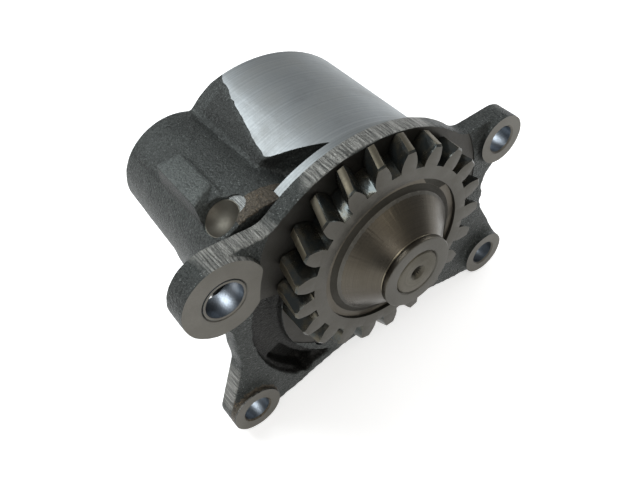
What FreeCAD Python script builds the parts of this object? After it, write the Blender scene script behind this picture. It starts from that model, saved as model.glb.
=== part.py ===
"""Engine oil pump: a flanged gear pump with a helical drive gear in front of its mounting flange.

Millimetres. The origin is where the drive axis meets the mounting face, the back of the four ears.
+X is to the right seen from the gear, +Y runs back into the engine and +Z is up.
"""
import FreeCAD
import Part
import Sketcher
import math
import os

os.makedirs("parts", exist_ok=True)
doc = FreeCAD.newDocument("OilPump")
sheet = doc.addObject("Spreadsheet::Sheet", "Sizes")
rows = 0


class Length:
    """A size with the text that binds a property to the sheet."""

    def __init__(self, value, text):
        self.value = value
        self.text = text

    def __add__(self, other):
        other = length(other)
        return Length(self.value + other.value, f"({self.text} + {other.text})")

    def __sub__(self, other):
        other = length(other)
        return Length(self.value - other.value, f"({self.text} - {other.text})")

    def __mul__(self, other):
        other = length(other)
        return Length(self.value * other.value, f"({self.text} * {other.text})")

    def __truediv__(self, other):
        other = length(other)
        return Length(self.value / other.value, f"({self.text} / {other.text})")

    def __radd__(self, other):
        return length(other) + self

    def __rsub__(self, other):
        return length(other) - self

    def __rmul__(self, other):
        return length(other) * self

    def __neg__(self):
        return Length(-self.value, f"(0 - {self.text})")


def length(value):
    """A plain number as a Length."""
    return value if isinstance(value, Length) else Length(float(value), f"({float(value):.9g})")


def size(alias, value):
    """A driving dimension: a cell of the sheet, and its Length."""
    global rows
    rows += 1
    sheet.set(f"A{rows}", alias)
    sheet.set(f"B{rows}", str(value))
    sheet.setAlias(f"B{rows}", alias)
    return Length(float(value), f"Sizes.{alias}")


def cosine(angle):
    """Cosine of an angle in degrees."""
    return Length(math.cos(math.radians(angle.value)), f"cos({angle.text} * 1deg)")


def sine(angle):
    """Sine of an angle in degrees."""
    return Length(math.sin(math.radians(angle.value)), f"sin({angle.text} * 1deg)")


# Castings
spigot_x = size("spigot_axis_x", -2.5)
spigot_z = size("spigot_axis_z", -17)
rim_r = size("flange_rim_radius", 59.5)
plate = size("flange_thickness", 6.5)
spigot_r = size("spigot_radius", 55)
spigot_depth = size("spigot_length", 7.5)
barrel_r = size("barrel_radius", 53.7)
barrel_end = size("barrel_end_y", 67.5)
core_r = size("barrel_core_radius", 45.5)
flat_z = size("body_flat_z", -56)
arch_r = size("flange_arch_radius", 135)
arch_top = size("flange_arch_top_z", -54)
cast_front_r = size("drive_side_front_radius", 40.8)
cast_back_r = size("drive_side_rear_radius", 37.6)
side_turn = size("drive_side_angle", 130)
side_off = size("drive_side_distance", 44)
left_turn = size("left_flat_angle", 187)
left_off = size("left_flat_distance", 48.8)
shoulder_off = size("front_shoulder_distance", -2.6)
shoulder_turn = size("front_shoulder_angle", 174)
shoulder_lean = size("front_shoulder_lean", -56.8)
corner_fillet = size("flange_corner_fillet", 9)
machined_edge = size("machined_edge_chamfer", 0.6)

# Ears
ear_r = size("ear_radius", 10.2)
boss_rise = size("ear_boss_rise", 3)
ear_hole_r = size("ear_hole_radius", 5.5)
ear_right_x = size("right_ear_x", 61.5)
ear_right_z = size("right_ear_z", 10.5)
foot_right_x = size("right_foot_x", 59.5)
foot_right_z = size("right_foot_z", -53.5)
foot_left_x = size("left_foot_x", -61)
foot_left_z = size("left_foot_z", -53.5)
ear_left_x = size("left_ear_x", -62)
ear_left_z = size("left_ear_z", 16)
big_ear_r = size("left_ear_radius", 15.5)
sleeve_in_r = size("sleeve_bore_radius", 7)
sleeve_wall = size("sleeve_wall", 1)

# Drive gear
gear_teeth = size("drive_gear_teeth", 21)
gear_module = size("drive_gear_normal_module", 3.5)
gear_helix = size("drive_gear_helix_angle", 20)
gear_width = size("drive_gear_width", 11)
gear_gap = size("drive_gear_running_gap", 0.5)
gear_clear = size("drive_gear_side_clearance", 8)
gear_phase = size("drive_gear_phase", 96)
tip_chamfer = size("tooth_edge_chamfer", 0.7)
pressure_angle = size("drive_gear_pressure_angle", 20)
gear_backlash = size("drive_gear_backlash", 0.2)
groove_r = size("gear_recess_radius", 29.8)
groove_depth = size("gear_recess_depth", 1.2)
cone_foot_r = size("hub_cone_foot_radius", 25.6)
cone_top_r = size("hub_cone_top_radius", 14)
hub_rise = size("hub_rise", 12.8)
collar_r = size("hub_collar_radius", 14.5)
collar_width = size("hub_collar_width", 2.4)

# Shafts and pump gears
shaft_r = size("drive_shaft_radius", 9)
pin_r = size("driven_shaft_radius", 8)
pump_teeth = size("pump_gear_teeth", 10)
pump_module = size("pump_gear_module", 3)
pump_width = size("pump_gear_width", 34)
pump_pressure = size("pump_gear_pressure_angle", 28)
pump_backlash = size("pump_gear_backlash", 0.16)
end_gap = size("pump_gear_end_clearance", 0.05)
tip_gap = size("pump_gear_tip_clearance", 0.1)
run_gap = size("shaft_running_clearance", 0.03)
bush_wall = size("bush_wall", 2)
bush_long = size("rear_bush_length", 17)
pin_bush_long = size("front_driven_bush_length", 9)
key_wide = size("key_width", 5)
key_deep = size("key_depth_in_shaft", 2.6)
key_high = size("key_rise_above_shaft", 1.4)
key_gap = size("key_top_clearance", 0.3)
key_side = size("key_side_clearance", 0.02)
key_long = size("pump_gear_key_length", 24)
moon_r = size("half_moon_key_radius", 8)
moon_high = size("half_moon_key_height", 6.5)
seat_gap = size("pressed_seat_clearance", 0.02)
washer_r = size("thrust_washer_radius", 17)
washer_thick = size("thrust_washer_thickness", 2.2)
washer_gap = size("thrust_washer_gap", 0.1)
clip_wide = size("circlip_width", 1.2)
clip_rise = size("circlip_rise", 1.7)
clip_sink = size("circlip_groove_depth", 0.75)
clip_gap = size("circlip_side_gap", 0.2)

# Screws, washers and dowels
screw_r = size("screw_radius", 3)
screw_gap = size("screw_hole_clearance", 0.3)
cap_r = size("socket_head_radius", 5)
cap_high = size("socket_head_height", 6)
socket_flats = size("socket_across_flats", 5)
body_thread = size("body_screw_thread_length", 12)
hex_flats = size("hex_head_across_flats", 10)
hex_high = size("hex_head_height", 4)
thread_gap = size("thread_clearance", 0.04)
cover_thread = size("cover_bolt_thread_length", 10)
lock_r = size("lock_washer_radius", 5.5)
lock_thick = size("lock_washer_thickness", 1.2)
dowel_r = size("dowel_radius", 3)
dowel_half = size("dowel_half_length", 5)

# Cover, ports and relief valve
cover_thick = size("cover_thickness", 7)
cover_sunk = size("cover_recess_depth", 6.5)
cover_r = size("cover_radius", 44)
cover_facet = size("cover_facet_distance", 28.5)
facet_turn = size("cover_facet_angle", 143.5)
cover_gap = size("cover_edge_gap", 0.3)
inlet_r = size("inlet_radius", 10)
inlet_x = size("inlet_centre_x", 19)
outlet_r = size("outlet_radius", 8)
outlet_x = size("outlet_centre_x", -17)
way_step = size("port_way_step", 0.8)
port_lip = size("port_collar_wall", 3)
port_rise = size("port_collar_rise", 2.5)
boss_x = size("valve_boss_x", -37)
boss_z = size("valve_boss_z", 7.7)
boss_front_r = size("valve_boss_front_radius", 24.4)
boss_back_r = size("valve_boss_back_radius", 21.7)
nose_y = size("valve_boss_nose_y", 2.2)
nose_gap = size("valve_boss_nose_gap", 0.3)
valve_r = size("valve_bore_radius", 8)
seat_r = size("valve_seat_radius", 6)
seat_y = size("valve_seat_y", 21)
chamber_y = size("valve_chamber_y", 9.5)
piston_long = size("piston_length", 18)
piston_wall = size("piston_wall", 2.2)
piston_crown = size("piston_crown", 4)
piston_stroke = size("piston_stroke", 8)
spring_r = size("spring_mean_radius", 4.4)
spring_wire_r = size("spring_wire_radius", 0.8)
spring_turns = size("spring_turns", 9)
plug_r = size("valve_plug_radius", 10)
plug_thread = size("valve_plug_thread_length", 11)
plug_flats = size("valve_plug_across_flats", 22)
plug_high = size("valve_plug_head_height", 6)
plug_pocket = size("valve_plug_pocket_depth", 8)
seal_thick = size("plug_seal_thickness", 1.5)
seal_wide = size("plug_seal_width", 3.2)
spill_r = size("spill_hole_radius", 4)
drill_r = size("cross_drilling_radius", 2.8)
drill_y = size("cross_drilling_y", 11)
drill_reach = size("cross_drilling_reach", 27)
drill_turn = size("cross_drilling_angle", 119)
spill_reach = size("spill_hole_reach", 36)
spill_turn = size("spill_hole_angle", 233)
cup_r = size("core_plug_radius", 6.8)
cup_deep = size("core_plug_depth", 4)
cup_dish_r = size("core_plug_dish_radius", 9)
cup_floor = size("core_plug_floor", 1.2)
face_r = size("spot_face_radius", 8)
face_out = size("spot_face_distance", 22.4)
face_cut = size("spot_face_cut_height", 18)
rib_wide = size("boss_rib_width", 9.5)
rib_x = size("boss_rib_x", -53.5)
rib_top = size("boss_rib_top_z", 32)
rib_front = size("boss_rib_front_y", 15)
rib_back = size("boss_rib_back_y", 43.5)

# Worked out from the sizes above
plate_y = -plate
ear_y = plate_y - boss_rise
gear_back_y = plate_y - gear_gap
gear_front_y = gear_back_y - gear_width
hub_front_y = gear_front_y - hub_rise
centre_gap = pump_module * pump_teeth
pin_z = -centre_gap
joint_y = spigot_depth
pocket_end_y = joint_y + pump_width + 2 * end_gap
recess_y = barrel_end - cover_sunk
cover_back_y = recess_y + cover_thick
port_z = -(centre_gap / 2)
bush_r = shaft_r + bush_wall
pin_bush_r = pin_r + bush_wall
pump_tip_r = pump_module * (pump_teeth / 2 + 1)
gear_pitch_r = gear_module / cosine(gear_helix) * gear_teeth / 2
gear_tip_r = gear_pitch_r + gear_module

body_screw_places = [("upper_left", -16, 19), ("upper_right", 20, 15), ("lower_right", 25, -40),
                     ("lower_left", -25, -40)]
cover_bolt_places = [("upper_left", -4, 17.5), ("upper_right", 18, 13), ("lower_right", 24, -38),
                     ("lower_left", -24, -38)]
dowel_places = [("right", 32, -8), ("left", -30, -25)]
places = {}
for group, group_places in (("body_screw", body_screw_places), ("cover_bolt", cover_bolt_places),
                            ("dowel", dowel_places)):
    for side, place_x, place_z in group_places:
        places[group, side] = (size(f"{group}_{side}_x", place_x), size(f"{group}_{side}_z", place_z))

doc.recompute()
nodes = []
AXIS_TURNS = {"X": FreeCAD.Rotation(FreeCAD.Vector(0, 1, 0), 90),
              "Y": FreeCAD.Rotation(FreeCAD.Vector(1, 0, 0), -90),
              "Z": FreeCAD.Rotation()}


def bind(item, name, value):
    """Give a property its number and its binding to the sheet."""
    value = length(value)
    if "." not in name:
        setattr(item, name, value.value)
    item.setExpression(name, value.text)
    return item


def put(item, x=0, y=0, z=0, turn=None):
    """Place an object, its position bound to the sheet."""
    x, y, z = length(x), length(y), length(z)
    item.Placement = FreeCAD.Placement(FreeCAD.Vector(x.value, y.value, z.value),
                                       turn or FreeCAD.Rotation())
    for letter, value in (("x", x), ("y", y), ("z", z)):
        item.setExpression(f"Placement.Base.{letter}", value.text)
    return item


def rod(name, radius, start_y, end_y, x=0, z=0):
    """Cylinder along Y between two places."""
    item = doc.addObject("Part::Cylinder", name)
    bind(item, "Radius", radius)
    bind(item, "Height", length(end_y) - start_y)
    return put(item, x, start_y, z, AXIS_TURNS["Y"])


def cone(name, start_r, end_r, start_y, end_y, x=0, z=0):
    """Cone along Y between two places."""
    item = doc.addObject("Part::Cone", name)
    bind(item, "Radius1", start_r)
    bind(item, "Radius2", end_r)
    bind(item, "Height", length(end_y) - start_y)
    return put(item, x, start_y, z, AXIS_TURNS["Y"])


def block(name, low, high):
    """Box between two corners."""
    item = doc.addObject("Part::Box", name)
    for key, start, end in zip(("Length", "Width", "Height"), low, high):
        bind(item, key, length(end) - start)
    return put(item, *low)


def hexagon(name, flats, start_y, end_y, x=0, z=0):
    """Hexagonal prism along Y, by its width across flats."""
    item = doc.addObject("Part::Prism", name)
    item.Polygon = 6
    bind(item, "Circumradius", length(flats) / math.sqrt(3))
    bind(item, "Height", length(end_y) - start_y)
    return put(item, x, start_y, z, AXIS_TURNS["Y"])


def fuse(name, items):
    """Union of solids."""
    item = doc.addObject("Part::MultiFuse", name)
    item.Shapes = items
    item.Refine = True
    return item


def cut(name, base, tools):
    """A solid less its cutters."""
    item = doc.addObject("Part::Cut", name)
    item.Base = base
    item.Tool = tools[0] if len(tools) == 1 else fuse(f"{name}_cutters", tools)
    item.Refine = True
    return item


def common(name, first, second):
    """What two solids share."""
    item = doc.addObject("Part::Common", name)
    item.Base = first
    item.Tool = second
    item.Refine = True
    return item


def dress(kind, name, base, amount, wanted):
    """Round or chamfer the edges of a solid that a test picks."""
    doc.recompute()
    item = doc.addObject(kind, name)
    item.Base = base
    picked = [(number, amount.value, amount.value)
              for number, edge in enumerate(base.Shape.Edges, 1) if wanted(edge)]
    item.Edges = picked
    return item


def node(label, item):
    """Take a finished solid as a sub-part of its own."""
    item.Label = label
    nodes.append(item)
    return item


def plane_of(body, role):
    """One of a body's own origin planes."""
    return next(item for item in body.Origin.OriginFeatures if item.Role == role)


def turned(label, points):
    """Turned piece about the drive axis: a closed profile of radius and place along Y."""
    body = doc.addObject("PartDesign::Body", label)
    sketch = body.newObject("Sketcher::SketchObject", f"{label}_profile")
    sketch.AttachmentSupport = [(plane_of(body, "XY_Plane"), "")]
    sketch.MapMode = "FlatFace"
    outline(sketch, points)
    turn = body.newObject("PartDesign::Revolution", f"{label}_turned")
    turn.Profile = sketch
    turn.ReferenceAxis = (sketch, ["V_Axis"])
    turn.Angle = 360
    return body


def outline(sketch, points):
    """Closed run of straight lines through points bound to the sheet."""
    points = [(length(across), length(along)) for across, along in points]
    corners = [FreeCAD.Vector(across.value, along.value, 0) for across, along in points]
    for number, corner in enumerate(corners):
        sketch.addGeometry(Part.LineSegment(corner, corners[(number + 1) % len(corners)]), False)

    for number in range(len(corners)):
        sketch.addConstraint(Sketcher.Constraint("Coincident", number, 2, (number + 1) % len(corners), 1))
    for number, (across, along) in enumerate(points):
        for kind, value in (("DistanceX", across), ("DistanceY", along)):
            held = sketch.addConstraint(Sketcher.Constraint(kind, -1, 1, number, 1, value.value))
            sketch.setExpression(f"Constraints[{held}]", value.text)


def lobe(label, ear_x, ear_z, ear_radius, root_x, root_z, root_radius):
    """Ear of the flange: two arcs joined by tangent lines, from the mounting face forwards."""
    body = doc.addObject("PartDesign::Body", label)
    sketch = body.newObject("Sketcher::SketchObject", f"{label}_outline")
    sketch.AttachmentSupport = [(plane_of(body, "XZ_Plane"), "")]
    sketch.MapMode = "FlatFace"
    arcs = ((ear_x, ear_z, ear_radius), (root_x, root_z, root_radius))
    ear = FreeCAD.Vector(ear_x.value, ear_z.value, 0)
    base = FreeCAD.Vector(root_x.value, root_z.value, 0)
    along = math.atan2(ear.y - base.y, ear.x - base.x)
    spread = math.acos((root_radius.value - ear_radius.value) / (ear - base).Length)
    up = FreeCAD.Vector(0, 0, 1)
    ends = []
    for centre, radius, start, end in ((ear, ear_radius.value, along - spread, along + spread),
                                       (base, root_radius.value, along + spread,
                                        along - spread + 2 * math.pi)):
        sketch.addGeometry(Part.ArcOfCircle(Part.Circle(centre, up, radius), start, end), False)
        ends.append([centre + FreeCAD.Vector(math.cos(turn), math.sin(turn), 0) * radius
                     for turn in (start, end)])
    sketch.addGeometry(Part.LineSegment(ends[0][1], ends[1][0]), False)
    sketch.addGeometry(Part.LineSegment(ends[1][1], ends[0][0]), False)
    for first, first_end, second, second_end in ((0, 2, 2, 1), (2, 2, 1, 1), (1, 2, 3, 1), (3, 2, 0, 1)):
        sketch.addConstraint(Sketcher.Constraint("Tangent", first, first_end, second, second_end))
    for number, (x, z, radius) in enumerate(arcs):
        for kind, value in (("DistanceX", x), ("DistanceY", z)):
            held = sketch.addConstraint(Sketcher.Constraint(kind, -1, 1, number, 3, value.value))
            sketch.setExpression(f"Constraints[{held}]", value.text)
        held = sketch.addConstraint(Sketcher.Constraint("Radius", number, radius.value))
        sketch.setExpression(f"Constraints[{held}]", radius.text)
    pad = body.newObject("PartDesign::Pad", f"{label}_pad")
    pad.Profile = sketch
    bind(pad, "Length", plate)
    return body


def slant_rod(name, radius, near, far, x, y, z, turn):
    """Cylinder square to Y that leaves a point at an angle from +X, between two distances."""
    item = doc.addObject("Part::Cylinder", name)
    bind(item, "Radius", radius)
    bind(item, "Height", length(far) - near)
    return put(item, x + cosine(turn) * near, y, z + sine(turn) * near,
               FreeCAD.Rotation(FreeCAD.Vector(0, 1, 0), 90 - turn.value))


def beyond(name, x, z, distance, turn, lean=None):
    """Block of everything past a flat: its face leans and stands square to an angle from +X."""
    lean = lean or length(0)
    reach = 160
    item = doc.addObject("Part::Box", name)
    for key in ("Length", "Width", "Height"):
        setattr(item, key, reach)
    across = (cosine(lean) * cosine(turn), sine(lean), cosine(lean) * sine(turn))
    forward = (-(sine(lean) * cosine(turn)), cosine(lean), -(sine(lean) * sine(turn)))
    upward = (-sine(turn), length(0), cosine(turn))
    start = [place + distance * first - (second + third) * (reach / 2)
             for place, first, second, third in zip((x, length(0), z), across, forward, upward)]
    rotation = FreeCAD.Rotation(FreeCAD.Vector(0, 1, 0), -turn.value).multiply(
        FreeCAD.Rotation(FreeCAD.Vector(0, 0, 1), lean.value))
    return put(item, *start, rotation)


def sector(name, inner_r, outer_r, start_y, end_y, start_turn, sweep):
    """Stretch of a ring about the spigot axis, between two angles from +X."""
    outer = rod(f"{name}_outer", outer_r, start_y, end_y, spigot_x, spigot_z)
    bind(outer, "Angle", sweep)
    outer.Placement.Rotation = AXIS_TURNS["Y"].multiply(
        FreeCAD.Rotation(FreeCAD.Vector(0, 0, 1), -(start_turn.value + sweep.value)))
    inner = rod(f"{name}_inner", inner_r, start_y, end_y, spigot_x, spigot_z)
    return cut(name, outer, [inner])


def mouth(name, radius, rim_y, into=1, x=0, z=0, depth=None):
    """Cutter for the chamfer at the mouth of a hole: into is the way into the metal along Y."""
    depth = depth or machined_edge
    if into > 0:
        return cone(name, radius + 2 * depth, radius, rim_y - depth, rim_y + depth, x, z)
    return cone(name, radius, radius + 2 * depth, rim_y - depth, rim_y + depth, x, z)


def gear_outline(teeth, module, flank_angle, backlash, phase, pitch_r, y):
    """Closed wire of a gear's teeth at one place along Y: involute flanks, tip and root arcs."""
    base_r = pitch_r * math.cos(flank_angle)
    tip_r = pitch_r + module
    root_r = pitch_r - 1.25 * module
    start_r = max(base_r, root_r)

    def flare(radius):
        turn = math.acos(min(1.0, base_r / radius))
        return math.tan(turn) - turn

    half = math.pi / (2 * teeth) - backlash / (4 * pitch_r) + flare(pitch_r)

    def spot(radius, turn):
        return FreeCAD.Vector(radius * math.cos(turn), y, radius * math.sin(turn))

    steps = [start_r + (tip_r - start_r) * share for share in (0, 0.08, 0.25, 0.5, 0.75, 1)]
    edges = []
    pitch = 2 * math.pi / teeth
    for number in range(teeth):
        middle = phase + number * pitch
        rise = [spot(radius, middle - half + flare(radius)) for radius in steps]
        fall = [spot(radius, middle + half - flare(radius)) for radius in reversed(steps)]
        if start_r > root_r:
            edges.append(Part.LineSegment(spot(root_r, middle - half), rise[0]).toShape())
        edges.append(through(rise))
        edges.append(Part.Arc(rise[-1], spot(tip_r, middle), fall[0]).toShape())
        edges.append(through(fall))
        if start_r > root_r:
            edges.append(Part.LineSegment(fall[-1], spot(root_r, middle + half)).toShape())
        edges.append(Part.Arc(spot(root_r, middle + half), spot(root_r, middle + pitch / 2),
                              spot(root_r, middle + pitch - half)).toShape())
    return Part.Wire(edges)


def through(points):
    """Smooth edge through points."""
    curve = Part.BSplineCurve()
    curve.interpolate(points)
    return curve.toShape()


def root_of(side, turn, gap, radius):
    """Circle that an ear grows from: its centre lies on a ray from the spigot axis, its rim inside the
    flange's by the gap."""
    turn = size(f"{side}_root_angle", turn)
    radius = size(f"{side}_root_radius", radius)
    off = rim_r - size(f"{side}_root_rim_gap", gap) - radius
    return spigot_x + cosine(turn) * off, spigot_z + sine(turn) * off, radius


# Mounting flange: plate with four ears, spigot, bearing seats and the recess behind the gear
disc = rod("flange_disc", rim_r, plate_y, 0, spigot_x, spigot_z)
ears = {"right": (ear_right_x, ear_right_z), "foot_right": (foot_right_x, foot_right_z),
        "foot_left": (foot_left_x, foot_left_z), "left": (ear_left_x, ear_left_z)}
lobe_roots = {"right": root_of("right_ear", 24.5, 3.5, 24.7),
              "foot_right": root_of("right_foot", -22.4, -2.6, 28),
              "foot_left": root_of("left_foot", -156.9, -1.65, 28),
              "left": root_of("left_ear", 143.3, 2.7, 25)}
lobes = []
bosses = []
holes = []
doc.recompute()
for name, (x, z) in ears.items():
    big = name == "left"
    radius = big_ear_r if big else ear_r
    hole_r = sleeve_in_r + sleeve_wall + seat_gap if big else ear_hole_r
    lobes.append(lobe(f"{name}_lobe", x, z, radius, *lobe_roots[name]))
    bosses.append(rod(f"{name}_boss", radius, ear_y, plate_y + 1, x, z))
    holes.append(rod(f"{name}_hole", hole_r, ear_y - 1, 1, x, z))
    holes.append(mouth(f"{name}_hole_mouth", hole_r, ear_y, 1, x, z))
arch = rod("flange_arch", arch_r, plate_y - 1, 1, 0, arch_top - arch_r)
plate_solid = cut("flange_plate", fuse("flange_blank", [disc] + lobes), [arch])


def rim_corner(edge):
    """Whether an edge is an inside corner where an ear leaves the round rim."""
    if edge.Curve.TypeId != "Part::GeomLine" or abs(edge.Length - plate.value) > 0.01:
        return False
    x, z = edge.CenterOfMass.x, edge.CenterOfMass.z
    off = math.hypot(x - spigot_x.value, z - spigot_z.value)
    return abs(off - rim_r.value) < 0.02 and z > arch_top.value + 10


rounded = dress("Part::Fillet", "flange_corners", plate_solid, corner_fillet, rim_corner)
spigot = rod("spigot_round", spigot_r, 0, joint_y, spigot_x, spigot_z)
under = block("below_body", (-80, -1, flat_z - 60), (80, barrel_end + 1, flat_z))
boss_set = cut("ear_bosses", fuse("ear_boss_rounds", bosses),
               [rod("gear_sweep", gear_tip_r + gear_clear, ear_y - 1, plate_y, 0, 0)])
flange_blank = fuse("flange_casting", [rounded, cut("spigot", spigot, [under]), boss_set])
recess_out_r = size("flange_recess_outer_radius", 52)
recess_in_r = size("flange_recess_inner_radius", 40)
recess_deep = size("flange_recess_depth", 3)
recess_turn = size("flange_recess_start_angle", 158)
recess_sweep = size("flange_recess_sweep", 90)
recess_low_z = size("flange_recess_low_z", -52.3)
slot_out_r = size("oil_slot_outer_radius", 50.5)
slot_in_r = size("oil_slot_inner_radius", 43.5)
slot_deep = size("oil_slot_depth", 9)
slot_turn = size("oil_slot_start_angle", 200)
slot_sweep = size("oil_slot_sweep", 30)
doc.recompute()
washer_front_y = gear_back_y + washer_gap
washer_back_y = washer_front_y + washer_thick
head_seat_y = plate_y + cap_high + screw_gap
pin_front_y = joint_y - pin_bush_long
flange_cuts = holes + [
    rod("drive_bush_seat", bush_r, plate_y - 1, joint_y + 1),
    rod("thrust_washer_seat", washer_r + seat_gap, plate_y - 1, washer_back_y),
    rod("driven_bush_seat", pin_bush_r, pin_front_y, joint_y + 1, 0, pin_z),
    cut("flange_recess_whole", sector("flange_recess", recess_in_r, recess_out_r, plate_y - 1,
                                      plate_y + recess_deep, recess_turn, recess_sweep),
        [block("flange_recess_low", (-80, plate_y - 2, recess_low_z - 60), (0, 1, recess_low_z))]),
    sector("oil_slot", slot_in_r, slot_out_r, plate_y - 1, plate_y + slot_deep, slot_turn, slot_sweep)]
for side, _, _ in body_screw_places:
    x, z = places["body_screw", side]
    flange_cuts.append(rod(f"body_screw_seat_{side}", cap_r + screw_gap, plate_y - 1, head_seat_y, x, z))
    flange_cuts.append(rod(f"body_screw_way_{side}", screw_r + screw_gap, plate_y, joint_y + 1, x, z))
for side, _, _ in dowel_places:
    x, z = places["dowel", side]
    flange_cuts.append(rod(f"dowel_seat_front_{side}", dowel_r + seat_gap, joint_y - dowel_half,
                           joint_y + 1, x, z))
node("flange_housing", cut("flange_machined", flange_blank, flange_cuts))
node("locating_sleeve", cut("sleeve_tube", rod("sleeve_round", sleeve_in_r + sleeve_wall, ear_y, 0,
                                               ear_left_x, ear_left_z),
                            [rod("sleeve_bore", sleeve_in_r, ear_y - 1, 1, ear_left_x, ear_left_z)]))

# Gear housing: machined barrel on a cast core, with the relief valve boss on its left
barrel = cut("barrel_cut", rod("barrel_round", barrel_r, joint_y, barrel_end, spigot_x, spigot_z),
             [beyond("front_shoulder", spigot_x, spigot_z, shoulder_off, shoulder_turn, shoulder_lean)])
core = rod("core_round", core_r, joint_y, barrel_end, spigot_x, spigot_z)
drive_side = cut("drive_side", beyond("drive_side_room", spigot_x, spigot_z, side_off, side_turn),
                 [cone("drive_side_cast", cast_front_r, cast_back_r, joint_y - 1, barrel_end + 1)])
trunk = cut("trunk", fuse("trunk_blank", [barrel, core]),
            [drive_side, beyond("left_flat", spigot_x, spigot_z, left_off, left_turn), under])
valve_boss = cone("valve_boss", boss_front_r, boss_back_r, joint_y, barrel_end, boss_x, boss_z)
boss_nose = cut("boss_nose", rod("boss_nose_round", boss_front_r, nose_y, joint_y, boss_x, boss_z),
                [rod("spigot_room", spigot_r + nose_gap, nose_y - 1, joint_y, spigot_x, spigot_z)])
rib = block("boss_rib", (rib_x, rib_front, boss_z), (rib_x + rib_wide, rib_back, rib_top))
housing_blank = fuse("housing_casting", [trunk, valve_boss, boss_nose, rib])


def cover_shape(name, grow, start_y, end_y):
    """Outline of the rear cover, grown by a gap for the recess that it sits in."""
    floor_z = flat_z + port_lip - grow
    return cut(name, rod(f"{name}_round", cover_r + grow, start_y, end_y, spigot_x, spigot_z),
               [beyond(f"{name}_facet", spigot_x, spigot_z, cover_facet + grow, facet_turn),
                block(f"{name}_floor", (-80, start_y - 1, floor_z - 60), (80, end_y + 1, floor_z))])


plug_front_y = barrel_end - plug_thread
housing_cuts = [
    rod("drive_pocket", pump_tip_r + tip_gap, joint_y - 1, pocket_end_y),
    rod("driven_pocket", pump_tip_r + tip_gap, joint_y - 1, pocket_end_y, 0, pin_z),
    rod("drive_rear_seat", bush_r, pocket_end_y - 1, recess_y + 1),
    rod("driven_rear_seat", pin_bush_r, pocket_end_y - 1, recess_y + 1, 0, pin_z),
    rod("inlet_way", inlet_r + way_step, joint_y - 1, recess_y + 1, inlet_x, port_z),
    rod("outlet_way", outlet_r + way_step, joint_y - 1, recess_y + 1, outlet_x, port_z),
    cover_shape("cover_recess", cover_gap, recess_y, barrel_end + 1),
    rod("valve_bore", valve_r, seat_y, barrel_end + 1, boss_x, boss_z),
    rod("valve_chamber", seat_r, chamber_y, seat_y + 1, boss_x, boss_z),
    rod("valve_plug_thread", plug_r, plug_front_y, barrel_end + 1, boss_x, boss_z),
    slant_rod("cross_drilling", drill_r, -drill_reach, face_out, boss_x, drill_y, boss_z, drill_turn),
    slant_rod("core_plug_seat", cup_r + seat_gap, face_out - cup_deep, face_out + 1, boss_x, drill_y, boss_z,
              drill_turn),
    slant_rod("spot_face", face_r, face_out, face_out + face_cut, boss_x, drill_y, boss_z, drill_turn),
    slant_rod("spill_hole", spill_r, length(0), spill_reach, boss_x, seat_y + piston_stroke + spill_r,
              boss_z, spill_turn)]
for side, _, _ in body_screw_places:
    x, z = places["body_screw", side]
    housing_cuts.append(rod(f"body_screw_thread_{side}", screw_r + thread_gap, joint_y - 1,
                            joint_y + body_thread + 1, x, z))
for side, _, _ in dowel_places:
    x, z = places["dowel", side]
    housing_cuts.append(rod(f"dowel_seat_rear_{side}", dowel_r + seat_gap, joint_y - 1,
                            joint_y + dowel_half, x, z))
for side, _, _ in cover_bolt_places:
    x, z = places["cover_bolt", side]
    housing_cuts.append(rod(f"cover_bolt_thread_{side}", screw_r + thread_gap,
                            recess_y - cover_thread - 1, recess_y + 1, x, z))
node("gear_housing", cut("housing_machined", housing_blank, housing_cuts))

# Rear cover with its two port collars
collar_end_y = cover_back_y + port_rise
collars = []
cover_cuts = []
for name, radius, x in (("inlet", inlet_r, inlet_x), ("outlet", outlet_r, outlet_x)):
    collars.append(rod(f"{name}_collar", radius + port_lip, cover_back_y - 1, collar_end_y, x, port_z))
    cover_cuts.append(rod(f"{name}_port", radius, recess_y - 1, collar_end_y + 1, x, port_z))
    cover_cuts.append(mouth(f"{name}_mouth", radius, collar_end_y, -1, x, port_z))
for side, _, _ in cover_bolt_places:
    x, z = places["cover_bolt", side]
    cover_cuts.append(rod(f"cover_bolt_way_{side}", screw_r + screw_gap, recess_y - 1, cover_back_y + 1,
                          x, z))
node("rear_cover", cut("cover_machined",
                       fuse("cover_blank", [cover_shape("cover_plate", length(0), recess_y, cover_back_y)]
                            + collars), cover_cuts))

# Screws, bolts, washers and dowels
for side, _, _ in body_screw_places:
    x, z = places["body_screw", side]
    screw = fuse(f"body_screw_blank_{side}",
                 [rod(f"body_screw_head_{side}", cap_r, head_seat_y - cap_high, head_seat_y, x, z),
                  rod(f"body_screw_shank_{side}", screw_r, head_seat_y - 1, joint_y + body_thread, x, z)])
    node(f"body_screw_{side}",
         cut(f"body_screw_cut_{side}", screw,
             [hexagon(f"body_screw_socket_{side}", socket_flats, head_seat_y - cap_high - 1,
                      head_seat_y - cap_high / 2, x, z)]))
for side, _, _ in cover_bolt_places:
    x, z = places["cover_bolt", side]
    head_y = cover_back_y + lock_thick
    head = common(f"cover_bolt_crown_{side}",
                  hexagon(f"cover_bolt_hex_{side}", hex_flats, head_y, head_y + hex_high, x, z),
                  cone(f"cover_bolt_cone_{side}", hex_flats * 0.5 + hex_high, hex_flats * 0.5 - 0.2,
                       head_y, head_y + hex_high, x, z))
    node(f"cover_bolt_{side}",
         fuse(f"cover_bolt_whole_{side}",
              [head, rod(f"cover_bolt_shank_{side}", screw_r, recess_y - cover_thread, head_y + 1, x, z)]))
    node(f"lock_washer_{side}",
         cut(f"lock_washer_ring_{side}",
             rod(f"lock_washer_round_{side}", lock_r, cover_back_y, head_y, x, z),
             [rod(f"lock_washer_hole_{side}", screw_r + screw_gap, cover_back_y - 1, head_y + 1, x, z)]))
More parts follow.
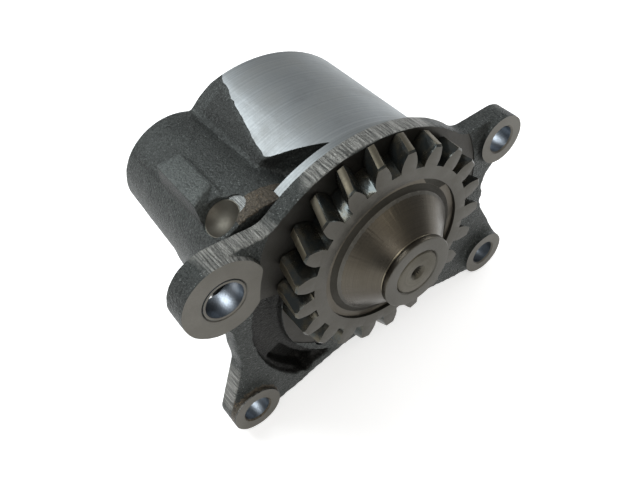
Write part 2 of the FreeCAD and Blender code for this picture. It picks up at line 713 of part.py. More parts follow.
for side, _, _ in dowel_places:
    x, z = places["dowel", side]
    node(f"dowel_pin_{side}", rod(f"dowel_round_{side}", dowel_r, joint_y - dowel_half + screw_gap,
                                  joint_y + dowel_half - screw_gap, x, z))


def tube(label, inner_r, outer_r, start_y, end_y, x=0, z=0):
    """Plain ring or bush along Y, as a sub-part."""
    return node(label, cut(f"{label}_ring", rod(f"{label}_round", outer_r, start_y, end_y, x, z),
                           [rod(f"{label}_hole", inner_r, length(start_y) - 1, length(end_y) + 1, x, z)]))


# Bushes and thrust washer
rear_bush_end_y = pocket_end_y + bush_long
tube("front_drive_bush", shaft_r + run_gap, bush_r - seat_gap, washer_back_y, joint_y)
tube("front_driven_bush", pin_r + run_gap, pin_bush_r - seat_gap, pin_front_y, joint_y, 0, pin_z)
tube("rear_drive_bush", shaft_r + run_gap, bush_r - seat_gap, pocket_end_y, rear_bush_end_y)
tube("rear_driven_bush", pin_r + run_gap, pin_bush_r - seat_gap, pocket_end_y, rear_bush_end_y, 0, pin_z)
tube("thrust_washer", shaft_r + screw_gap, washer_r, washer_front_y, washer_back_y)

# Drive shaft with its keys and circlip
shaft_end_y = recess_y - clip_gap
clip_y = rear_bush_end_y + clip_gap
key_top = shaft_r + key_high
moon_y = gear_back_y - moon_r - 1
pump_key_y = joint_y + (pump_width - key_long) / 2
moon_z = key_top - moon_high + moon_r


def moon(name, grow):
    """Half moon disc about an axis along X, flat on top."""
    item = doc.addObject("Part::Cylinder", f"{name}_disc")
    bind(item, "Radius", moon_r + grow)
    bind(item, "Height", key_wide + 2 * grow)
    put(item, -(key_wide / 2 + grow), moon_y, moon_z, AXIS_TURNS["X"])
    top = block(f"{name}_top", (-key_wide, moon_y - moon_r - 1, key_top), (key_wide, moon_y + moon_r + 1,
                                                                         key_top + moon_r + 4))
    return cut(name, item, [top])


shaft_cuts = [cone("centre_drill_mouth", length(3.2), length(1.1), hub_front_y, hub_front_y + 2.1),
              rod("centre_drill", length(1.1), hub_front_y - 1, hub_front_y + 5),
              moon("half_moon_seat", key_side),
              block("pump_key_seat", (-(key_wide / 2 + key_side), pump_key_y - key_side, shaft_r - key_deep),
                    (key_wide / 2 + key_side, pump_key_y + key_long + key_side, shaft_r + 2)),
              cut("circlip_groove", rod("circlip_groove_round", shaft_r + 1, clip_y, clip_y + clip_wide),
                  [rod("circlip_groove_core", shaft_r - clip_sink, clip_y - 1, clip_y + clip_wide + 1)])]
shaft_body = turned("drive_shaft_blank", [(0, hub_front_y), (shaft_r - machined_edge, hub_front_y),
                                          (shaft_r, hub_front_y + machined_edge),
                                          (shaft_r, shaft_end_y - machined_edge),
                                          (shaft_r - machined_edge, shaft_end_y), (0, shaft_end_y)])
node("drive_shaft", cut("drive_shaft_cut", shaft_body, shaft_cuts))
node("gear_key", moon("gear_key_moon", length(0)))
node("pump_gear_key", block("pump_gear_key_bar", (-(key_wide / 2), pump_key_y, shaft_r - key_deep),
                            (key_wide / 2, pump_key_y + key_long, key_top)))
clip_ring = cut("circlip_ring", rod("circlip_round", shaft_r + clip_rise, clip_y, clip_y + clip_wide),
                [rod("circlip_bore", shaft_r - clip_sink + seat_gap, clip_y - 1, clip_y + clip_wide + 1),
                 block("circlip_gap", (-2, clip_y - 1, -20), (2, clip_y + clip_wide + 1, 0))])
node("shaft_circlip", clip_ring)

# Helical drive gear with its coned hub
flank_angle = math.atan(math.tan(math.radians(pressure_angle.value))
                        / math.cos(math.radians(gear_helix.value)))
twist = gear_width.value * math.tan(math.radians(gear_helix.value)) / gear_pitch_r.value
phase = math.radians(gear_phase.value)
teeth_args = (int(gear_teeth.value), gear_module.value, flank_angle, gear_backlash.value)
front_wire = gear_outline(*teeth_args, phase, gear_pitch_r.value, gear_front_y.value)
back_wire = gear_outline(*teeth_args, phase - twist, gear_pitch_r.value, gear_back_y.value)
tooth_ring = doc.addObject("Part::Feature", "drive_gear_teeth")
tooth_ring.Shape = Part.makeLoft([front_wire, back_wire], True, True)
tip_grow = 0.2
gear_envelope = turned("drive_gear_envelope",
                       [(0, gear_front_y), (gear_tip_r - tip_chamfer, gear_front_y),
                        (gear_tip_r + tip_grow, gear_front_y + tip_chamfer + tip_grow),
                        (gear_tip_r + tip_grow, gear_back_y - tip_chamfer - tip_grow),
                        (gear_tip_r - tip_chamfer, gear_back_y), (0, gear_back_y)])
gear_disc = cut("drive_gear_disc", common("drive_gear_trimmed", tooth_ring, gear_envelope),
                [rod("drive_gear_recess", groove_r, gear_front_y - 1, gear_front_y + groove_depth)])
hub_foot_y = gear_front_y + groove_depth
collar_y = hub_front_y + collar_width
hub = turned("drive_gear_hub", [(0, hub_foot_y + 1), (cone_foot_r, hub_foot_y + 1),
                                (cone_foot_r, hub_foot_y), (cone_foot_r - 2, hub_foot_y - 1),
                                (cone_top_r, collar_y + 1), (cone_top_r - 0.8, collar_y + 0.6),
                                (cone_top_r - 0.8, collar_y), (collar_r, collar_y),
                                (collar_r, hub_front_y + 0.5), (collar_r - 0.5, hub_front_y),
                                (0, hub_front_y)])
gear_bore = [rod("drive_gear_bore", shaft_r + seat_gap, hub_front_y - 1, gear_back_y + 1),
             mouth("drive_gear_bore_mouth", shaft_r, hub_front_y),
             block("drive_gear_keyway", (-(key_wide / 2 + key_side), moon_y - moon_r - 1, 0),
                   (key_wide / 2 + key_side, gear_back_y + 1, key_top + key_gap))]
node("drive_gear", cut("drive_gear_cut", fuse("drive_gear_blank", [gear_disc, hub]), gear_bore))

# Pump gears, in mesh on the line between their axes
pump_args = (int(pump_teeth.value), pump_module.value, math.radians(pump_pressure.value),
             pump_backlash.value)
pump_front_y = joint_y + end_gap
half_pitch = math.pi / pump_teeth.value
for label, turn, z in (("pump_drive_gear", -math.pi / 2, 0), ("pump_driven_gear", math.pi / 2 + half_pitch,
                                                             pin_z)):
    blank = doc.addObject("Part::Feature", f"{label}_teeth")
    wire = gear_outline(*pump_args, turn, centre_gap.value / 2, 0)
    blank.Shape = Part.Face(wire).extrude(FreeCAD.Vector(0, pump_width.value, 0))
    put(blank, 0, pump_front_y, z)
    bore_r = shaft_r if label == "pump_drive_gear" else pin_r
    bores = [rod(f"{label}_bore", bore_r + seat_gap, pump_front_y - 1, pump_front_y + pump_width + 1, 0, z)]
    if label == "pump_drive_gear":
        bores.append(block("pump_gear_keyway", (-(key_wide / 2 + key_side), pump_front_y - 1, 0),
                           (key_wide / 2 + key_side, pump_front_y + pump_width + 1, key_top + 0.1)))
    node(label, cut(f"{label}_cut", blank, bores))
node("driven_shaft", rod("driven_shaft_round", pin_r, pin_front_y + screw_gap, rear_bush_end_y, 0, pin_z))

# Relief valve: piston, spring, plug and seal, and the plug that closes the cross drilling
piston_end_y = seat_y + piston_long
piston_in_r = valve_r - piston_wall
node("relief_piston", cut("relief_piston_cup",
                          rod("relief_piston_round", valve_r - run_gap, seat_y, piston_end_y,
                              boss_x, boss_z),
                          [rod("relief_piston_bore", piston_in_r, seat_y + piston_crown, piston_end_y + 1,
                               boss_x, boss_z)]))
seal_r = plug_r + seal_wide
plug_seat_y = barrel_end + seal_thick
plug_blank = fuse("relief_plug_blank",
                  [rod("relief_plug_thread", plug_r - thread_gap, plug_front_y, plug_seat_y + 1,
                       boss_x, boss_z),
                   common("relief_plug_head",
                          hexagon("relief_plug_hex", plug_flats, plug_seat_y, plug_seat_y + plug_high,
                                  boss_x, boss_z),
                          cone("relief_plug_crown", plug_flats * 0.5 + plug_high, plug_flats * 0.5 - 0.3,
                               plug_seat_y, plug_seat_y + plug_high, boss_x, boss_z))])
node("relief_plug", cut("relief_plug_cut", plug_blank,
                        [rod("relief_plug_pocket", piston_in_r, plug_front_y - 1, plug_front_y + plug_pocket,
                             boss_x, boss_z)]))
tube("relief_plug_seal", plug_r + screw_gap, seal_r, barrel_end, plug_seat_y, boss_x, boss_z)
spring_front_y = seat_y + piston_crown + 0.1 + spring_wire_r
spring_long = plug_front_y + plug_pocket - 0.1 - spring_wire_r - spring_front_y
helix = doc.addObject("Part::Helix", "relief_spring_path")
bind(helix, "Radius", spring_r)
bind(helix, "Height", spring_long)
bind(helix, "Pitch", spring_long / spring_turns)
put(helix, boss_x, spring_front_y, boss_z, AXIS_TURNS["Y"])
wire_ring = doc.addObject("Part::Circle", "relief_spring_wire")
bind(wire_ring, "Radius", spring_wire_r)
put(wire_ring, boss_x + spring_r, spring_front_y, boss_z)
spring = doc.addObject("Part::Sweep", "relief_spring_coil")
spring.Sections = [wire_ring]
spring.Spine = (helix, ["Edge1"])
spring.Solid = True
spring.Frenet = True
node("relief_spring", spring)
cup = slant_rod("core_plug_round", cup_r, face_out - cup_deep, face_out, boss_x, drill_y, boss_z, drill_turn)
dish = doc.addObject("Part::Sphere", "core_plug_dish")
bind(dish, "Radius", cup_dish_r)
dish_out = face_out - cup_deep + cup_floor + cup_dish_r
put(dish, boss_x + cosine(drill_turn) * dish_out, drill_y, boss_z + sine(drill_turn) * dish_out)
node("core_plug", cut("core_plug_cut", cup, [dish]))

doc.recompute()
for item in doc.Objects:
    for state in ("Invalid", "Error"):
        if state in item.State:
            raise RuntimeError(f"{item.Name} is {state}: {item.getStatusString()}")
for item in nodes:
    if item.Shape.isNull() or not item.Shape.isValid():
        raise RuntimeError(f"{item.Label} has no sound shape")
for item in nodes:
    item.Shape.exportStep(f"parts/{item.Label}.step")
    print(item.Label, len(item.Shape.Solids), round(item.Shape.Volume))
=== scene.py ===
"""Engine oil pump: the finishes, castings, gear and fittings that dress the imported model.

Metres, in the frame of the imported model: the drive axis is Y, the mounting face is Y = 0, +Z is up.
Castings are made as the real ones are: a rough blank with some metal to spare, which is then machined.
"""
import logging
import math
from dataclasses import dataclass, field
from enum import Enum
from typing import Callable

import bpy
from mathutils import Matrix, Vector


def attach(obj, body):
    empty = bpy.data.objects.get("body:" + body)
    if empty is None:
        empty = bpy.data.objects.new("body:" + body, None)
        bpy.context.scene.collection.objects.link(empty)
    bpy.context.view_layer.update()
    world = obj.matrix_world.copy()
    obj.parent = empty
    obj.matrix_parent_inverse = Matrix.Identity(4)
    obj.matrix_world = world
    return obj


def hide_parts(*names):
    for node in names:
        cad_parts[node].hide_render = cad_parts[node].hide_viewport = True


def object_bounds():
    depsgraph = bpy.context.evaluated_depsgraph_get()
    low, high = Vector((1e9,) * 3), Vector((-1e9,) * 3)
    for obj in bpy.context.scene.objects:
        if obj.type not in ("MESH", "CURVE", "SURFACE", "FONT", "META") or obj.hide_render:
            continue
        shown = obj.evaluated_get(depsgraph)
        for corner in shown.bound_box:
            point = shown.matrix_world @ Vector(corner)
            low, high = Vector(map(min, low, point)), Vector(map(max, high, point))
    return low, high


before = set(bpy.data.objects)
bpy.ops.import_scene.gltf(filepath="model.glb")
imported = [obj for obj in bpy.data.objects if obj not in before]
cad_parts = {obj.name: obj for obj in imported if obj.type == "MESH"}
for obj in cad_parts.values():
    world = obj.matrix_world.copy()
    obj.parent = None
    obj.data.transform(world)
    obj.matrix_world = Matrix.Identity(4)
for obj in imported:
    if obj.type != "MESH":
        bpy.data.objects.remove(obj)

Place = tuple[float, float]
Triple = tuple[float, float, float]
Solid = bpy.types.Object

log = logging.getLogger("oil_pump")
MM = 0.001
CAD_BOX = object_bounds()
EDGE_ANGLE = math.radians(30)
DRIVE_AXIS = (0.0, 0.0)
DRIVEN_AXIS = (0.0, -30 * MM)
SPIGOT_AXIS = (-2.5 * MM, -17 * MM)
VALVE_AXIS = (-37 * MM, 7.7 * MM)
JOINT_Y = 7.5 * MM
BODY_END_Y = 67.5 * MM
FLAT_Z = -56 * MM
SPARE = 1.6 * MM
DRIVE_SEAT = 11 * MM
DRIVEN_SEAT = 10 * MM
SCREW_WAY = 3.3 * MM
SCREW_THREAD = 3.04 * MM
DOWEL_SEAT = 3.02 * MM
BODY_SCREWS = ((-16 * MM, 19 * MM), (20 * MM, 15 * MM), (25 * MM, -40 * MM), (-25 * MM, -40 * MM))
COVER_BOLTS = ((-4 * MM, 17.5 * MM), (18 * MM, 13 * MM), (24 * MM, -38 * MM), (-24 * MM, -38 * MM))
DOWELS = ((32 * MM, -8 * MM), (-30 * MM, -25 * MM))


class Cut(Enum):
    """How a cutter meets a casting."""

    REMOVE = "DIFFERENCE"
    KEEP_INSIDE = "INTERSECT"
    ADD = "UNION"


class Axis(Enum):
    """Which way the marks of a tool run round a surface."""

    DRIVE = DRIVE_AXIS
    SPIGOT = SPIGOT_AXIS


class Graph:
    """A material's node tree, built one node at a time."""

    def __init__(self, name: str) -> None:
        """Start an empty material.

        Args:
            name: Name of the material.
        """
        self.material = bpy.data.materials.new(name)
        self.material.use_nodes = True
        self.tree = self.material.node_tree
        self.tree.nodes.clear()
        self.shader = self.add("ShaderNodeBsdfPrincipled")
        output = self.add("ShaderNodeOutputMaterial")
        self.tree.links.new(self.shader.outputs[0], output.inputs[0])
        self.place = self.add("ShaderNodeTexCoord").outputs["Object"]

    def add(self, kind: str, **values: object) -> bpy.types.Node:
        """Add a node.

        Args:
            kind: Type of the node.
            **values: Properties of the node, or sockets and values to feed its inputs.

        Returns:
            The new node.
        """
        node = self.tree.nodes.new(kind)
        for key, value in values.items():
            name = key.replace("_", " ")
            socket = next((item for item in node.inputs if item.name == name and item.enabled), None)
            if socket is None:
                setattr(node, key, value)
            else:
                self.feed(socket, value)
        return node

    def feed(self, socket: bpy.types.NodeSocket, value: object) -> None:
        """Link a socket to an output, or set it to a value or an opaque colour.

        Args:
            socket: Input to feed.
            value: Output socket, or a plain value.
        """
        if isinstance(value, bpy.types.NodeSocket):
            self.tree.links.new(value, socket)
        elif socket.type == "RGBA":
            socket.default_value = (*value, 1.0)
        else:
            socket.default_value = value

    def maths(self, operation: str, first: object, second: object = 0.0) -> object:
        """Combine two numbers.

        Args:
            operation: Name of the operation.
            first: Socket or number.
            second: Socket or number.

        Returns:
            The output socket.
        """
        node = self.tree.nodes.new("ShaderNodeMath")
        node.operation = operation
        self.feed(node.inputs[0], first)
        self.feed(node.inputs[1], second)
        return node.outputs[0]

    def stretched(self, scale: Triple) -> object:
        """Object coordinates, scaled by a factor for each axis."""
        return self.add("ShaderNodeMapping", Vector=self.place, Scale=scale).outputs[0]

    def noise(self, vector: object, scale: float, detail: float, rough: float) -> object:
        """Cloudy noise from 0 to 1: spots per metre, number of finer layers and their weight."""
        node = self.add("ShaderNodeTexNoise", Vector=vector, Scale=scale, Detail=detail, Roughness=rough)
        return node.outputs[0]

    def ramp(self, factor: object, low: float, high: float, bottom: float = 0.0, top: float = 1.0) -> object:
        """Map a range of a number to another range, held at its ends.

        Args:
            factor: Socket to map.
            low: Value that gives bottom.
            high: Value that gives top.
            bottom: Result at low.
            top: Result at high.

        Returns:
            The output socket.
        """
        node = self.tree.nodes.new("ShaderNodeMapRange")
        node.clamp = True
        for name, value in (("Value", factor), ("From Min", low), ("From Max", high), ("To Min", bottom),
                            ("To Max", top)):
            self.feed(node.inputs[name], value)
        return node.outputs[0]

    def blend(self, factor: object, first: object, second: object) -> object:
        """Mix two colours.

        Args:
            factor: Share of the second colour.
            first: Colour or socket.
            second: Colour or socket.

        Returns:
            The colour socket.
        """
        node = self.tree.nodes.new("ShaderNodeMix")
        node.data_type = "RGBA"
        sockets = [item for item in node.inputs if item.enabled]
        self.feed(sockets[0], factor)
        for socket, colour in zip(sockets[-2:], (first, second)):
            self.feed(socket, colour)
        return next(item for item in node.outputs if item.enabled)

    def bump(self, height: object, depth: float, before: object = None) -> object:
        """Bump from a height.

        Args:
            height: Height between 0 and 1.
            depth: Real height in metres.
            before: Normal of an earlier bump.

        Returns:
            The normal socket.
        """
        node = self.add("ShaderNodeBump", Height=height, Distance=depth, Strength=1.0)
        if before is not None:
            self.feed(node.inputs["Normal"], before)
        return node.outputs[0]

    def radius(self, axis: Place) -> object:
        """Distance from an axis along Y, given by its X and Z."""
        moved = self.add("ShaderNodeMapping", Vector=self.place, Location=(-axis[0], 0.0, -axis[1]),
                         Scale=(1.0, 0.0, 1.0))
        return self.add("ShaderNodeVectorMath", operation="LENGTH", Vector=moved.outputs[0]).outputs["Value"]

    def along(self, letter: str) -> object:
        """One of the object coordinates."""
        return self.add("ShaderNodeSeparateXYZ", Vector=self.place).outputs[letter]

    def finish(self, colour: object, roughness: object, metal: float, normal: object) -> bpy.types.Material:
        """Feed the shader and give the material.

        Args:
            colour: Colour or socket.
            roughness: Number or socket.
            metal: Metallic share.
            normal: Normal socket.

        Returns:
            The finished material.
        """
        for name, value in (("Base Color", colour), ("Roughness", roughness), ("Metallic", metal),
                            ("Normal", normal)):
            self.feed(self.shader.inputs[name], value)
        return self.material


@dataclass(frozen=True)
class CastFinish:
    """Blasted sand casting: pebbled grain, dark hollows, bright specks that are partly painted glint, and
    milled patches on its edges.
    """

    name: str
    dark: Triple = (0.014, 0.016, 0.015)
    light: Triple = (0.066, 0.073, 0.070)
    # Bright specks: bare metal grains, brightened further as painted glints.
    speck: Triple = (0.26, 0.28, 0.27)
    grain: float = 1100.0
    depth: float = 0.00034
    roughness: float = 0.50
    milled: tuple[tuple[float, float, float, float], ...] = ()

    def build(self) -> bpy.types.Material:
        """Build the material."""
        graph = Graph(self.name)
        pebbles = graph.add("ShaderNodeTexVoronoi", Vector=graph.place, Scale=self.grain, feature="SMOOTH_F1",
                            Smoothness=0.6).outputs["Distance"]
        fine = graph.noise(graph.place, self.grain * 1.7, 3.0, 0.6)
        broad = graph.noise(graph.place, 60.0, 3.0, 0.5)
        height = graph.maths("ADD", graph.maths("MULTIPLY", pebbles, -0.7), fine)
        tone = graph.ramp(graph.maths("ADD", height, graph.maths("MULTIPLY", broad, 0.5)), -0.05, 0.72)
        colour = graph.blend(tone, self.dark, self.light)
        # Random bright specks: bare grains of metal, partly painted glint.
        bright = graph.ramp(graph.noise(graph.place, self.grain * 1.1, 2.0, 0.7), 0.64, 0.74)
        colour = graph.blend(graph.maths("MULTIPLY", bright, 0.75), colour, self.speck)
        normal = graph.bump(height, self.depth)
        roughness = graph.ramp(fine, 0.3, 0.7, self.roughness + 0.12, self.roughness - 0.12)
        if self.milled:
            colour, roughness, normal = self.mill(graph, colour, roughness, normal)
        return graph.finish(colour, roughness, 0.55, normal)

    def mill(self, graph: Graph, colour: object, roughness: object, normal: object) -> tuple:
        """Add the chattered milling on the edges, in patches.

        Args:
            graph: The material's graph.
            colour: Colour of the casting.
            roughness: Roughness of the casting.
            normal: Normal of the casting.

        Returns:
            The colour, roughness and normal with the patches.
        """
        mask = None
        wander = graph.maths("MULTIPLY", graph.noise(graph.place, 130.0, 3.0, 0.6), 9 * MM)
        for x, z, reach, fade in self.milled:
            far = graph.maths("ADD", graph.radius((x, z)), wander)
            spot = graph.ramp(far, reach, reach + fade, 1.0, 0.0)
            mask = spot if mask is None else graph.maths("MAXIMUM", mask, spot)
        facing = graph.add("ShaderNodeSeparateXYZ",
                           Vector=graph.add("ShaderNodeNewGeometry").outputs["Normal"]).outputs["Y"]
        side = graph.ramp(graph.maths("ABSOLUTE", facing), 0.35, 0.6, 1.0, 0.0)
        mask = graph.maths("MULTIPLY", mask, side)
        streaks = graph.noise(graph.stretched((1.0, 0.05, 1.0)), 1700.0, 3.0, 0.6)
        tone = graph.ramp(streaks, 0.36, 0.64)
        bright = graph.blend(tone, (0.055, 0.057, 0.053), (0.30, 0.30, 0.28))
        colour = graph.blend(mask, colour, bright)
        roughness = graph.maths("SUBTRACT", roughness, graph.maths("MULTIPLY", mask, 0.06))
        ridged = graph.add("ShaderNodeBump", Height=streaks, Distance=0.00022, Strength=mask, Normal=normal)
        return colour, roughness, ridged.outputs[0]


@dataclass(frozen=True)
class TurnedFinish:
    """Metal with the marks of a lathe or a grinder running round an axis."""

    name: str
    colour: Triple = (0.60, 0.59, 0.57)
    stain: Triple = (0.38, 0.35, 0.30)
    roughness: float = 0.30
    metal: float = 1.0
    axis: Axis = Axis.DRIVE
    pitch: float = 0.9 * MM
    depth: float = 0.000018
    stains: float = 0.35

    def build(self) -> bpy.types.Material:
        """Build the material."""
        graph = Graph(self.name)
        run = graph.maths("ADD", graph.radius(self.axis.value), graph.along("Y"))
        rings = graph.add("ShaderNodeTexNoise", noise_dimensions="1D", W=run, Scale=1 / self.pitch, Detail=3.0,
                          Roughness=0.7).outputs[0]
        cloud = graph.noise(graph.place, 75.0, 4.0, 0.6)
        grit = graph.noise(graph.place, 1500.0, 2.0, 0.6)
        share = graph.maths("MULTIPLY", graph.ramp(cloud, 0.42, 0.68), self.stains)
        colour = graph.blend(share, self.colour, self.stain)
        dim = tuple(part * 0.72 for part in self.colour)
        colour = graph.blend(graph.ramp(rings, 0.62, 0.38, 0.0, 0.55), colour, dim)
        normal = graph.bump(rings, self.depth)
        normal = graph.bump(grit, self.depth * 0.8, normal)
        wear = graph.maths("MULTIPLY", graph.ramp(grit, 0.3, 0.7), 0.08)
        roughness = graph.maths("ADD", graph.ramp(cloud, 0.3, 0.7, self.roughness - 0.05,
                                                  self.roughness + 0.07), wear)
        return graph.finish(colour, roughness, self.metal, normal)


@dataclass(frozen=True)
class MilledFinish:
    """Flat face swept by a wide cutter: long shallow arcs, a grey oil film and fine grain."""

    name: str
    colour: Triple = (0.205, 0.192, 0.170)
    film: Triple = (0.150, 0.138, 0.118)
    roughness: float = 0.46
    metal: float = 0.75
    centre: Place = (0.16, -0.22)
    depth: float = 0.000016
    pitch: float = MM
    lines: float = 0.0

    def build(self) -> bpy.types.Material:
        """Build the material."""
        graph = Graph(self.name)
        sweep = graph.radius(self.centre)
        arcs = graph.add("ShaderNodeTexNoise", noise_dimensions="1D", W=sweep, Scale=1 / self.pitch,
                         Detail=3.0, Roughness=0.65).outputs[0]
        cloud = graph.noise(graph.place, 55.0, 4.0, 0.6)
        grit = graph.noise(graph.place, 1300.0, 3.0, 0.65)
        colour = graph.blend(graph.ramp(cloud, 0.35, 0.68), self.colour, self.film)
        if self.lines:
            between = tuple(part * 0.2 for part in self.film)
            colour = graph.blend(graph.ramp(arcs, 0.46, 0.54, 0.0, self.lines), colour, between)
        speck = tuple(part * 0.7 for part in self.colour)
        colour = graph.blend(graph.ramp(grit, 0.6, 0.4, 0.0, 0.5), colour, speck)
        normal = graph.bump(arcs, self.depth)
        normal = graph.bump(grit, self.depth * 2.2, normal)
        roughness = graph.ramp(grit, 0.3, 0.7, self.roughness - 0.06, self.roughness + 0.1)
        return graph.finish(colour, roughness, self.metal, normal)


@dataclass(frozen=True)
class OiledFinish:
    """Hobbed tooth flank: dark, wet with oil, with brown and gold where it thins."""

    name: str
    dark: Triple = (0.030, 0.034, 0.034)
    gold: Triple = (0.20, 0.15, 0.075)
    roughness: float = 0.22
    metal: float = 0.8
    gold_share: float = 0.5

    def build(self) -> bpy.types.Material:
        """Build the material."""
        graph = Graph(self.name)
        cloud = graph.noise(graph.place, 210.0, 4.0, 0.6)
        hob = graph.noise(graph.stretched((1.0, 0.12, 1.0)), 1600.0, 2.0, 0.5)
        share = graph.maths("MULTIPLY", graph.ramp(cloud, 0.42, 0.66), self.gold_share)
        colour = graph.blend(share, self.dark, self.gold)
        normal = graph.bump(hob, 0.00004)
        roughness = graph.ramp(cloud, 0.35, 0.65, self.roughness - 0.05, self.roughness + 0.12)
        return graph.finish(colour, roughness, self.metal, normal)


@dataclass(frozen=True)
class PlainFinish:
    """Bought-in fitting: an even metal with a fine grain and a few stains."""

    name: str
    colour: Triple
    stain: Triple
    roughness: float
    metal: float = 1.0
    grain: float = 900.0
    depth: float = 0.00002

    def build(self) -> bpy.types.Material:
        """Build the material."""
        graph = Graph(self.name)
        cloud = graph.noise(graph.place, 160.0, 4.0, 0.6)
        grit = graph.noise(graph.place, self.grain, 3.0, 0.6)
        colour = graph.blend(graph.ramp(cloud, 0.4, 0.68, 0.0, 0.8), self.colour, self.stain)
        normal = graph.bump(grit, self.depth)
        roughness = graph.ramp(grit, 0.3, 0.7, self.roughness - 0.05, self.roughness + 0.08)
        return graph.finish(colour, roughness, self.metal, normal)


class Finish(Enum):
    """Every finish of the pump."""

    CAST_BODY = CastFinish("cast_body")
    CAST_FLANGE = CastFinish("cast_flange", dark=(0.011, 0.013, 0.012), light=(0.054, 0.060, 0.057),
                             speck=(0.32, 0.34, 0.33),
                             milled=((-52 * MM, 30 * MM, 15 * MM, 5 * MM),
                                     (-64 * MM, -40 * MM, 12 * MM, 5 * MM),
                                     (2 * MM, 42 * MM, 27 * MM, 6 * MM)))
    # Near-black cast finish for the recess at the lower left: painted shade of the recess.
    RECESS = CastFinish("cast_recess_shade", dark=(0.005, 0.005, 0.0045), light=(0.019, 0.019, 0.017),
                        speck=(0.09, 0.09, 0.08))
    # Darker cast finish for the barrel's side, shoulder and the rib's outer wall: painted shade.
    SHADED = CastFinish("cast_side_shade", dark=(0.011, 0.012, 0.011), light=(0.044, 0.048, 0.046),
                        speck=(0.15, 0.16, 0.15))
    # Lighter cast finish for the rib's top and end and the spot face's wall: painted light from above.
    RIB_TOP = CastFinish("cast_lit", dark=(0.040, 0.045, 0.043), light=(0.135, 0.150, 0.145))
    RUSTED = CastFinish("cast_rusted", dark=(0.026, 0.022, 0.017), light=(0.115, 0.098, 0.074),
                        speck=(0.30, 0.22, 0.13))
    LINED = MilledFinish("lined_metal", colour=(0.22, 0.23, 0.225), film=(0.15, 0.155, 0.15), roughness=0.42,
                         centre=(60 * MM, 60 * MM), depth=0.00006, pitch=0.45 * MM, lines=0.85)
    TURNED_BODY = TurnedFinish("turned_body", colour=(0.33, 0.352, 0.362), stain=(0.24, 0.235, 0.21),
                               axis=Axis.SPIGOT, roughness=0.50)
    # Turned steel of the spigot, its colour lowered below the barrel's: partly its own tone, partly painted
    # shade of its lower end.
    SPIGOT = TurnedFinish("turned_spigot_shaded", colour=(0.27, 0.29, 0.297), axis=Axis.SPIGOT, roughness=0.50,
                          stains=0.15)
    # Flange front faces, darkened far below the milled ear faces: painted shadow of the gear.
    FACED = MilledFinish("faced_flange_shaded", colour=(0.056, 0.053, 0.047), film=(0.038, 0.036, 0.031))
    BORED = TurnedFinish("bored", colour=(0.23, 0.255, 0.285), stain=(0.15, 0.16, 0.17), roughness=0.36,
                         stains=0.3)
    EAR_FACE = MilledFinish("milled_ear", colour=(0.150, 0.143, 0.126), film=(0.110, 0.104, 0.089),
                            centre=(-62 * MM, 16 * MM))
    GEAR_FACE = MilledFinish("gear_face", colour=(0.108, 0.103, 0.090), film=(0.079, 0.074, 0.063),
                             centre=DRIVE_AXIS)
    GEAR_TIP = TurnedFinish("gear_tip", colour=(0.125, 0.110, 0.078), stain=(0.060, 0.055, 0.042),
                            roughness=0.46, metal=0.75, stains=0.8)
    GEAR_EDGE = TurnedFinish("gear_edge", colour=(0.20, 0.185, 0.150), stain=(0.12, 0.11, 0.085),
                             roughness=0.42)
    # Darkened turned steel in the groove round the hub: painted shade of the groove.
    GROOVE = TurnedFinish("gear_groove_shade", colour=(0.045, 0.042, 0.035), stain=(0.032, 0.029, 0.023),
                          roughness=0.55)
    FLANK = OiledFinish("tooth_flank", dark=(0.052, 0.060, 0.060), gold=(0.125, 0.10, 0.058), roughness=0.18)
    CONE = TurnedFinish("turned_cone", colour=(0.092, 0.082, 0.066), stain=(0.070, 0.058, 0.040),
                        roughness=0.28, depth=0.00002, pitch=0.6 * MM)
    # Lighter, glossier turned steel on the neck behind the collar: painted highlight.
    NECK = TurnedFinish("turned_neck_highlight", colour=(0.22, 0.195, 0.145), stain=(0.12, 0.10, 0.07), roughness=0.22)
    SHAFT = TurnedFinish("ground_shaft", colour=(0.118, 0.109, 0.088), stain=(0.062, 0.057, 0.043),
                         roughness=0.46, stains=0.8)
    SHADOW = PlainFinish("dark_edge", (0.022, 0.021, 0.018), (0.035, 0.032, 0.026), 0.5)
    BRONZE = TurnedFinish("bronze", colour=(0.55, 0.37, 0.18), stain=(0.36, 0.22, 0.1), roughness=0.34)
    ZINC = PlainFinish("zinc_plate", (0.42, 0.41, 0.37), (0.32, 0.30, 0.25), 0.36)
    BLACK = PlainFinish("black_oxide", (0.035, 0.035, 0.038), (0.06, 0.05, 0.045), 0.42)
    SPRING = PlainFinish("spring_wire", (0.22, 0.22, 0.23), (0.14, 0.12, 0.1), 0.32)
    COPPER = PlainFinish("copper_seal", (0.60, 0.29, 0.17), (0.38, 0.18, 0.11), 0.38)
    STEEL = PlainFinish("pressed_steel", (0.125, 0.118, 0.098), (0.090, 0.080, 0.065), 0.5, metal=0.8)
    PLUG = MilledFinish("milled_pocket", colour=(0.20, 0.19, 0.165), film=(0.15, 0.14, 0.12),
                        centre=(-0.02, -0.02))

    def material(self) -> bpy.types.Material:
        """Give the material, built once."""
        return bpy.data.materials.get(self.value.name) or self.value.build()


def deselect() -> None:
    """Leave nothing selected."""
    bpy.ops.object.select_all(action="DESELECT")


def take(piece: Solid) -> Solid:
    """Select one object alone and make it active."""
    deselect()
    piece.select_set(True)
    bpy.context.view_layer.objects.active = piece
    return piece


def settle(name: str, finish: Finish) -> Solid:
    """Name the new active object, give it a finish and apply its place.

    Args:
        name: Name of the object.
        finish: Finish of its faces.

    Returns:
        The object.
    """
    piece = take(bpy.context.object)
    piece.name = name
    bpy.ops.object.transform_apply(location=True, rotation=True, scale=True)
    piece.data.materials.clear()
    piece.data.materials.append(finish.material())
    return piece


